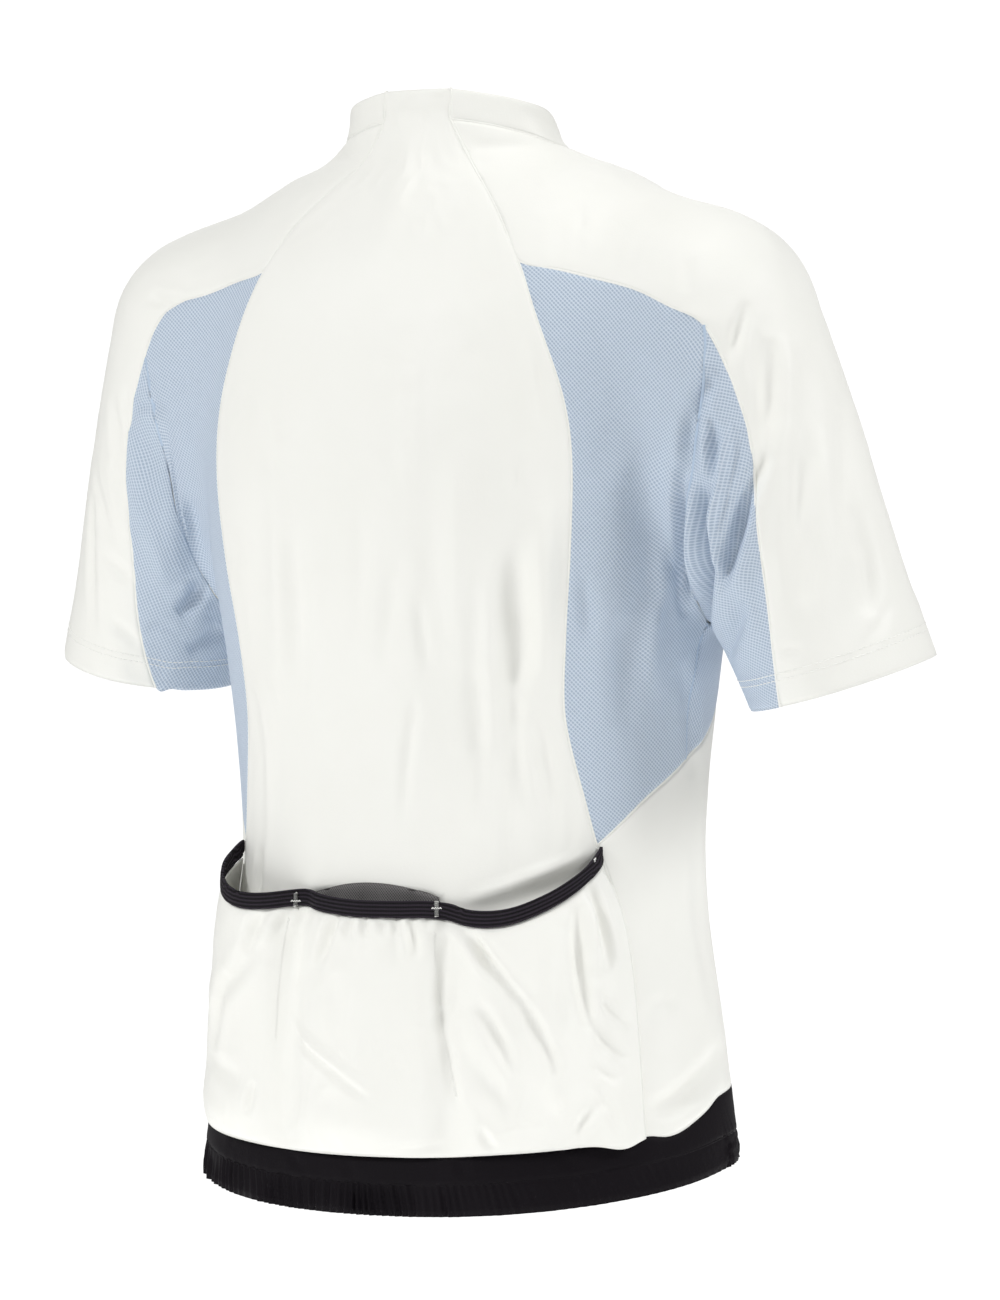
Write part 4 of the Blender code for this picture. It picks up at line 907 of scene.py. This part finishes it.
seamKinds = {
    "white": {"radius": 1.15 * mm, "sunk": 0.85 * mm, "finish": whiteKnit, "slot": "white_knit"},
    "blue": {"radius": 1.6 * mm, "sunk": 1.2 * mm, "finish": blueThread, "slot": "blue_mesh"},
    "black": {"radius": 1.15 * mm, "sunk": 0.85 * mm, "finish": blackKnit, "slot": "black_knit"},
    "grey": {"radius": 0.7 * mm, "sunk": 0.3 * mm, "finish": greyThread, "slot": "grey_mesh"},
}
seams = {
    "white": [("back_panel", ("side_back_left", "side_back_right", "raglan_sleeve_left",
                              "raglan_sleeve_right", "collar_left", "collar_right", "front_panel")),
              ("collar_left", ("raglan_sleeve_left", "front_panel", "collar_right")),
              ("collar_right", ("raglan_sleeve_right", "front_panel")),
              ("raglan_sleeve_left", ("side_back_left", "side_front_left", "sleeve_under_left",
                                      "front_panel")),
              ("raglan_sleeve_right", ("side_back_right", "side_front_right", "sleeve_under_right",
                                       "front_panel")),
              ("front_panel", ("side_front_left", "side_front_right", "side_back_left",
                               "side_back_right", "pocket_panel", "zip_tape"))],
    "blue": [("sleeve_under_left", ("side_back_left", "side_front_left")),
             ("sleeve_under_right", ("side_back_right", "side_front_right")),
             ("side_back_left", ("side_front_left",)),
             ("side_back_right", ("side_front_right",))],
    "black": [("hem_band", ("pocket_panel", "front_panel", "hem_casing", "back_panel"))],
    "grey": [("pocket_lining", ("back_panel",))],
}
for colour, pairs in seams.items():
    kind = seamKinds[colour]
    paths = [path for first, others in pairs for path in seamPaths(first, others, kind["sunk"], seamLook)]
    made = threads("seams_" + colour, paths, kind["radius"], kind["finish"])
    print("seams", colour, len(paths), len(made.data.polygons))

# stitches

stitchLook = {"radius": 0.28 * mm, "length": 2.6 * mm, "pitch": 3.6 * mm, "lift": 0.15 * mm}


def lengthsAlong(path):
    return np.concatenate(([0], np.cumsum(np.linalg.norm(np.diff(path, axis=0), axis=1))))


def atLengths(rows, along, at):
    return np.stack([np.interp(at, along, rows[:, i]) for i in range(3)], 1)


def dashes(path, normals, look):
    # a row of stitches along a path, each a short arc that dips into the cloth at its ends
    along = lengthsAlong(path)
    lift = np.array([-0.4, 0.6, 1, 0.6, -0.4])[:, None] * look["lift"]
    out = []
    for start in np.arange(0, along[-1] - look["length"], look["pitch"]):
        at = start + look["length"] * np.array([0, 0.15, 0.5, 0.85, 1])
        out.append(atLengths(path, along, at) + atLengths(normals, along, at) * lift)
    return out


# rows of stitches so far above the cuff's edge, whose line is read within a window in radians, then evened;
# outward tells the cuff's edge from the seams
cuffLook = {"rows": (17 * mm, 21 * mm), "outward": 0.6, "turns": 181, "window": 0.1, "evened": 12}


def cuffRow(side, above, look):
    # a ring round the cuff, a fixed way above its edge
    nodes = ("raglan_sleeve_" + side, "sleeve_under_" + side)
    top, end = (np.array(p) for p in sleeveAxes[side])
    axis = (end - top) / np.linalg.norm(end - top)
    first = np.cross(axis, (0, 1, 0))
    first /= np.linalg.norm(first)
    second = np.cross(axis, first)
    edge = np.vstack([points[away @ axis > look["outward"]] for node in nodes
                      for points, _, away in rims[node]]) - top
    angles = np.arctan2(edge @ second, edge @ first)
    turns = np.linspace(-math.pi, math.pi, look["turns"])
    gap = np.abs((turns[:, None] - angles + math.pi) % (2 * math.pi) - math.pi)
    deepest = np.where(gap < look["window"], edge @ axis, -1).max(1)
    for _ in range(look["evened"]):
        deepest = (np.roll(deepest, 1) + 2 * deepest + np.roll(deepest, -1)) / 4
    skin = skinOf(nodes)
    path, normals = [], []
    for turn, low in zip(turns, deepest):
        out = first * math.cos(turn) + second * math.sin(turn)
        start = top + axis * (low - above)
        hit = skin.ray_cast(Vector(start), Vector(out))
        if hit[0]:
            path.append(hit[0])
            normals.append(hit[1])
    return np.array(path), np.array(normals)


for side in ("left", "right"):
    rows = [cuffRow(side, above, cuffLook) for above in cuffLook["rows"]]
    stitches = [dash for row in rows for dash in dashes(*row, stitchLook)]
    made = threads("cuff_stitches_" + side, stitches, stitchLook["radius"], whiteThread, rounding=1)
    print("cuff stitches", side, len(made.data.polygons))

# bar tacks: a close zigzag down the binding, crossed by a short bar

tackLook = {"radius": 0.4 * mm, "height": 10.5 * mm, "width": 2.4 * mm, "swings": 36, "lift": 0.35 * mm,
            "bar": 6 * mm, "barSwings": 8, "barWidth": 0.8 * mm}
tackPlaces = {"left_divider": {"spot": (59, 122, -477), "size": 1},
              "right_divider": {"spot": (-45, 124, -479), "size": 1},
              "right_end": {"spot": (-131, 80, -448), "size": 0.3}}


def barTack(place, skin, look):
    hit = skin.find_nearest(Vector(place["spot"]) * mm)
    facing = Vector(hit[1])
    across = Vector((0, 0, 1)).cross(facing).normalized()
    up = facing.cross(across)
    down = [((k % 2 * 2 - 1) * look["width"] / 2 * (k > 0), (0.5 - k / look["swings"]) * look["height"])
            for k in range(look["swings"] + 1)]
    bar = [((k / look["barSwings"] - 0.5) * look["bar"], (k % 2 - 0.5) * look["barWidth"])
           for k in range(look["barSwings"] + 1)]
    rows = []
    for row in (down, bar):
        placed = [hit[0] + (across * u + up * v) * place["size"] for u, v in row]
        rows.append([skin.find_nearest(p)[0] + facing * look["lift"] for p in placed])
    return rows


bindingSkin = skinOf(["pocket_binding", "pocket_panel"])
rows = [row for place in tackPlaces.values() for row in barTack(place, bindingSkin, tackLook)]
made = threads("bar_tacks", rows, tackLook["radius"], whiteThread, rounding=1)
print("bar tacks", len(made.data.polygons))

# pocket dividers: a wavering zigzag stitch down from each tack

dividers = (((65, 121, -488), (71, 121, -524), (73, 123, -564)),
            ((-45, 126, -494), (-47, 124, -540), (-60, 124, -596)))
dividerLook = {"radius": 0.25 * mm, "pitch": 2.6 * mm, "swing": 0.7 * mm, "lift": 0.05 * mm}


def zigzag(path, facing, look):
    along = lengthsAlong(path)
    at = np.arange(0, along[-1], look["pitch"] / 2)
    places, out = atLengths(path, along, at), atLengths(facing, along, at)
    side = np.cross(out, np.gradient(places, axis=0))
    side /= np.linalg.norm(side, axis=1)[:, None]
    swing = np.where(np.arange(len(at)) % 2, 1, -1) * look["swing"]
    return places + side * swing[:, None] + out * look["lift"]


skin = skinOf(["pocket_panel"])
rows = [zigzag(*laidPath(divider, skin), dividerLook) for divider in dividers]
made = threads("divider_stitches", rows, dividerLook["radius"], whiteThread, rounding=1)
print("divider stitches", len(made.data.polygons))

# zip

teethLook = {"pitch": 2.0 * mm, "size": (3.0 * mm, 1.6 * mm, 1.1 * mm), "top": -30 * mm,
             "bottom": -333 * mm, "middle": 0.4 * mm, "apart": 0.9 * mm, "proud": 0.4 * mm,
             "edge": 0.25 * mm}


def zipTeeth(look):
    # two rows of moulded teeth, set half a step apart so that they mesh
    skin = skinOf(["zip_tape"])
    bm = bmesh.new()
    for k in range(int((look["top"] - look["bottom"]) / look["pitch"] * 2)):
        height = look["top"] - k * look["pitch"] / 2
        hit = skin.ray_cast(Vector((look["middle"], -0.5, height)), Vector((0, 1, 0)))    # from the front
        if not hit[0]:
            continue
        tooth = bmesh.ops.create_cube(bm, size=1)["verts"]
        bmesh.ops.scale(bm, vec=look["size"], verts=tooth)
        aside = (k % 2 * 2 - 1) * look["apart"]
        place = (hit[0].x + aside - look["middle"], hit[0].y - look["proud"], height)
        bmesh.ops.translate(bm, vec=place, verts=tooth)
    bmesh.ops.bevel(bm, geom=bm.edges[:], offset=look["edge"], segments=1, affect="EDGES", profile=0.5,
                    material=-1)
    made = meshObject("zip_teeth", bm)
    made.data.materials.append(whiteNylon)
    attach(made, "garment")
    print("zip teeth", len(made.data.polygons))


zipTeeth(teethLook)

castLooks = {"zip_slider": {"body": "garment", "edge": 0.3 * mm},
             "zip_pull": {"body": "pull_tab", "edge": 0.3 * mm}}


def castPiece(node, look):
    # the zip's castings keep their solids' shape, with rounded edges
    bm = bmesh.new()
    bm.from_mesh(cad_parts[node].data)
    bmesh.ops.remove_doubles(bm, verts=bm.verts[:], dist=0.01 * mm)
    bmesh.ops.dissolve_limit(bm, angle_limit=math.radians(2), verts=bm.verts[:], edges=bm.edges[:])
    piece = meshObject("metal_" + node, bm)
    edges = piece.modifiers.new("edges", "BEVEL")
    edges.width, edges.segments, edges.limit_method = look["edge"], 2, "ANGLE"
    piece.data.materials.append(castMetal)
    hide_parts(node)
    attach(piece, look["body"])


for node, look in castLooks.items():
    castPiece(node, look)
print("zip made")

# every sheet's cut, laid flat

leastSide = 10.2 * mm


def stripCut(rows, area):
    # width and length of a ring's or a curved strip's own straight cut
    around = [float(np.linalg.norm(np.roll(row[0], -1, axis=0) - row[0], axis=1).sum()) for row in rows]
    if len(around) > 1:
        return area / (sum(around) / 2), sum(around) / 2
    half = around[0] / 2
    length = (half + math.sqrt(half**2 - 4 * area)) / 2
    return area / length, length


for node, piece in pieceOf.items():
    (width, length), area = cutOf[node]
    if panelLooks[node]["strip"]:
        width, length = stripCut(rims[node], area)
        width = max(width, leastSide)
    print("cut", node, round(width, 3), round(length, 3), "area", round(area, 4))

# studio

# lengths in metres; each lamp stands so far towards the camera, to its right and above the neck
studio = {"azimuth": 210, "distance": 3.6, "aimHeight": -0.32, "aside": 0.016, "lens": 156.0,
          "floor": -0.95, "dome": 0.33, "backdrop": 1.1, "floorSize": 1.6, "floorGlow": 0.5}
lamps = {"key": {"back": 1.6, "right": -2.2, "up": 1.2, "size": 0.8, "power": 39},
         "fill": {"back": 1.1, "right": 2.5, "up": 1.35, "size": 0.9, "power": 42},
         "top": {"back": 0.8, "right": 0, "up": 2.4, "size": 1.2, "power": 16},
         "front": {"back": -2.6, "right": 0, "up": 0.8, "size": 2.4, "power": 12}}


def paperFloor():
    # a matt white floor, lit a little from within so that it stays as pale as the backdrop
    bm = bmesh.new()
    bmesh.ops.create_grid(bm, x_segments=1, y_segments=1, size=studio["floorSize"])
    bmesh.ops.translate(bm, vec=(0, 0, studio["floor"]), verts=bm.verts[:])
    made = meshObject("studio_floor", bm)
    pale, _ = newMaterial("matt white paper", "FFFFFF", 1.0, Emission_Color=rgb("FFFFFF"),
                          Emission_Strength=studio["floorGlow"], Specular_IOR_Level=0.0)
    made.data.materials.append(pale)


def areaLight(name, look):
    lamp = bpy.data.lights.new(name, "AREA")
    lamp.shape = "DISK"
    lamp.size, lamp.energy = look["size"], look["power"]
    made = bpy.data.objects.new(name, lamp)
    made.location = back * look["back"] + right * look["right"] + up * look["up"]
    way = Vector((0, 0, studio["aimHeight"])) - made.location
    made.rotation_euler = way.to_track_quat("-Z", "Y").to_euler()
    bpy.context.scene.collection.objects.link(made)


def studioWorld():
    # an even dome of light, seen by the camera as a brighter backdrop
    world = bpy.data.worlds.new("studio")
    bpy.context.scene.world = world
    world.use_nodes = True
    tree = world.node_tree
    seen = addNode(tree, "ShaderNodeLightPath").outputs["Is Camera Ray"]
    strength = addNode(tree, "ShaderNodeMapRange", n0=seen, n3=studio["dome"], n4=studio["backdrop"])
    tree.links.new(strength.outputs[0], tree.nodes["Background"].inputs["Strength"])
    tree.nodes["Background"].inputs["Color"].default_value = rgb("FFFFFF")


paperFloor()
studioWorld()
turn = math.radians(studio["azimuth"])
right = Vector((math.cos(turn), math.sin(turn), 0))
back = Vector((math.sin(turn), -math.cos(turn), 0))
up = Vector((0, 0, 1))
for name, look in lamps.items():
    areaLight(name, look)
bpy.context.scene.view_settings.view_transform = "Standard"    # white cloth shows as white

aim = Vector((0, 0, studio["aimHeight"])) + studio["aside"] * right
lens = bpy.data.cameras.new("camera")
lens.lens, lens.sensor_width = studio["lens"], 36
camera = bpy.data.objects.new("camera", lens)
camera.location = aim + back * studio["distance"]
camera.rotation_euler = (-back).to_track_quat("-Z", "Y").to_euler()
bpy.context.scene.collection.objects.link(camera)
bpy.context.scene.camera = camera
print("studio made")
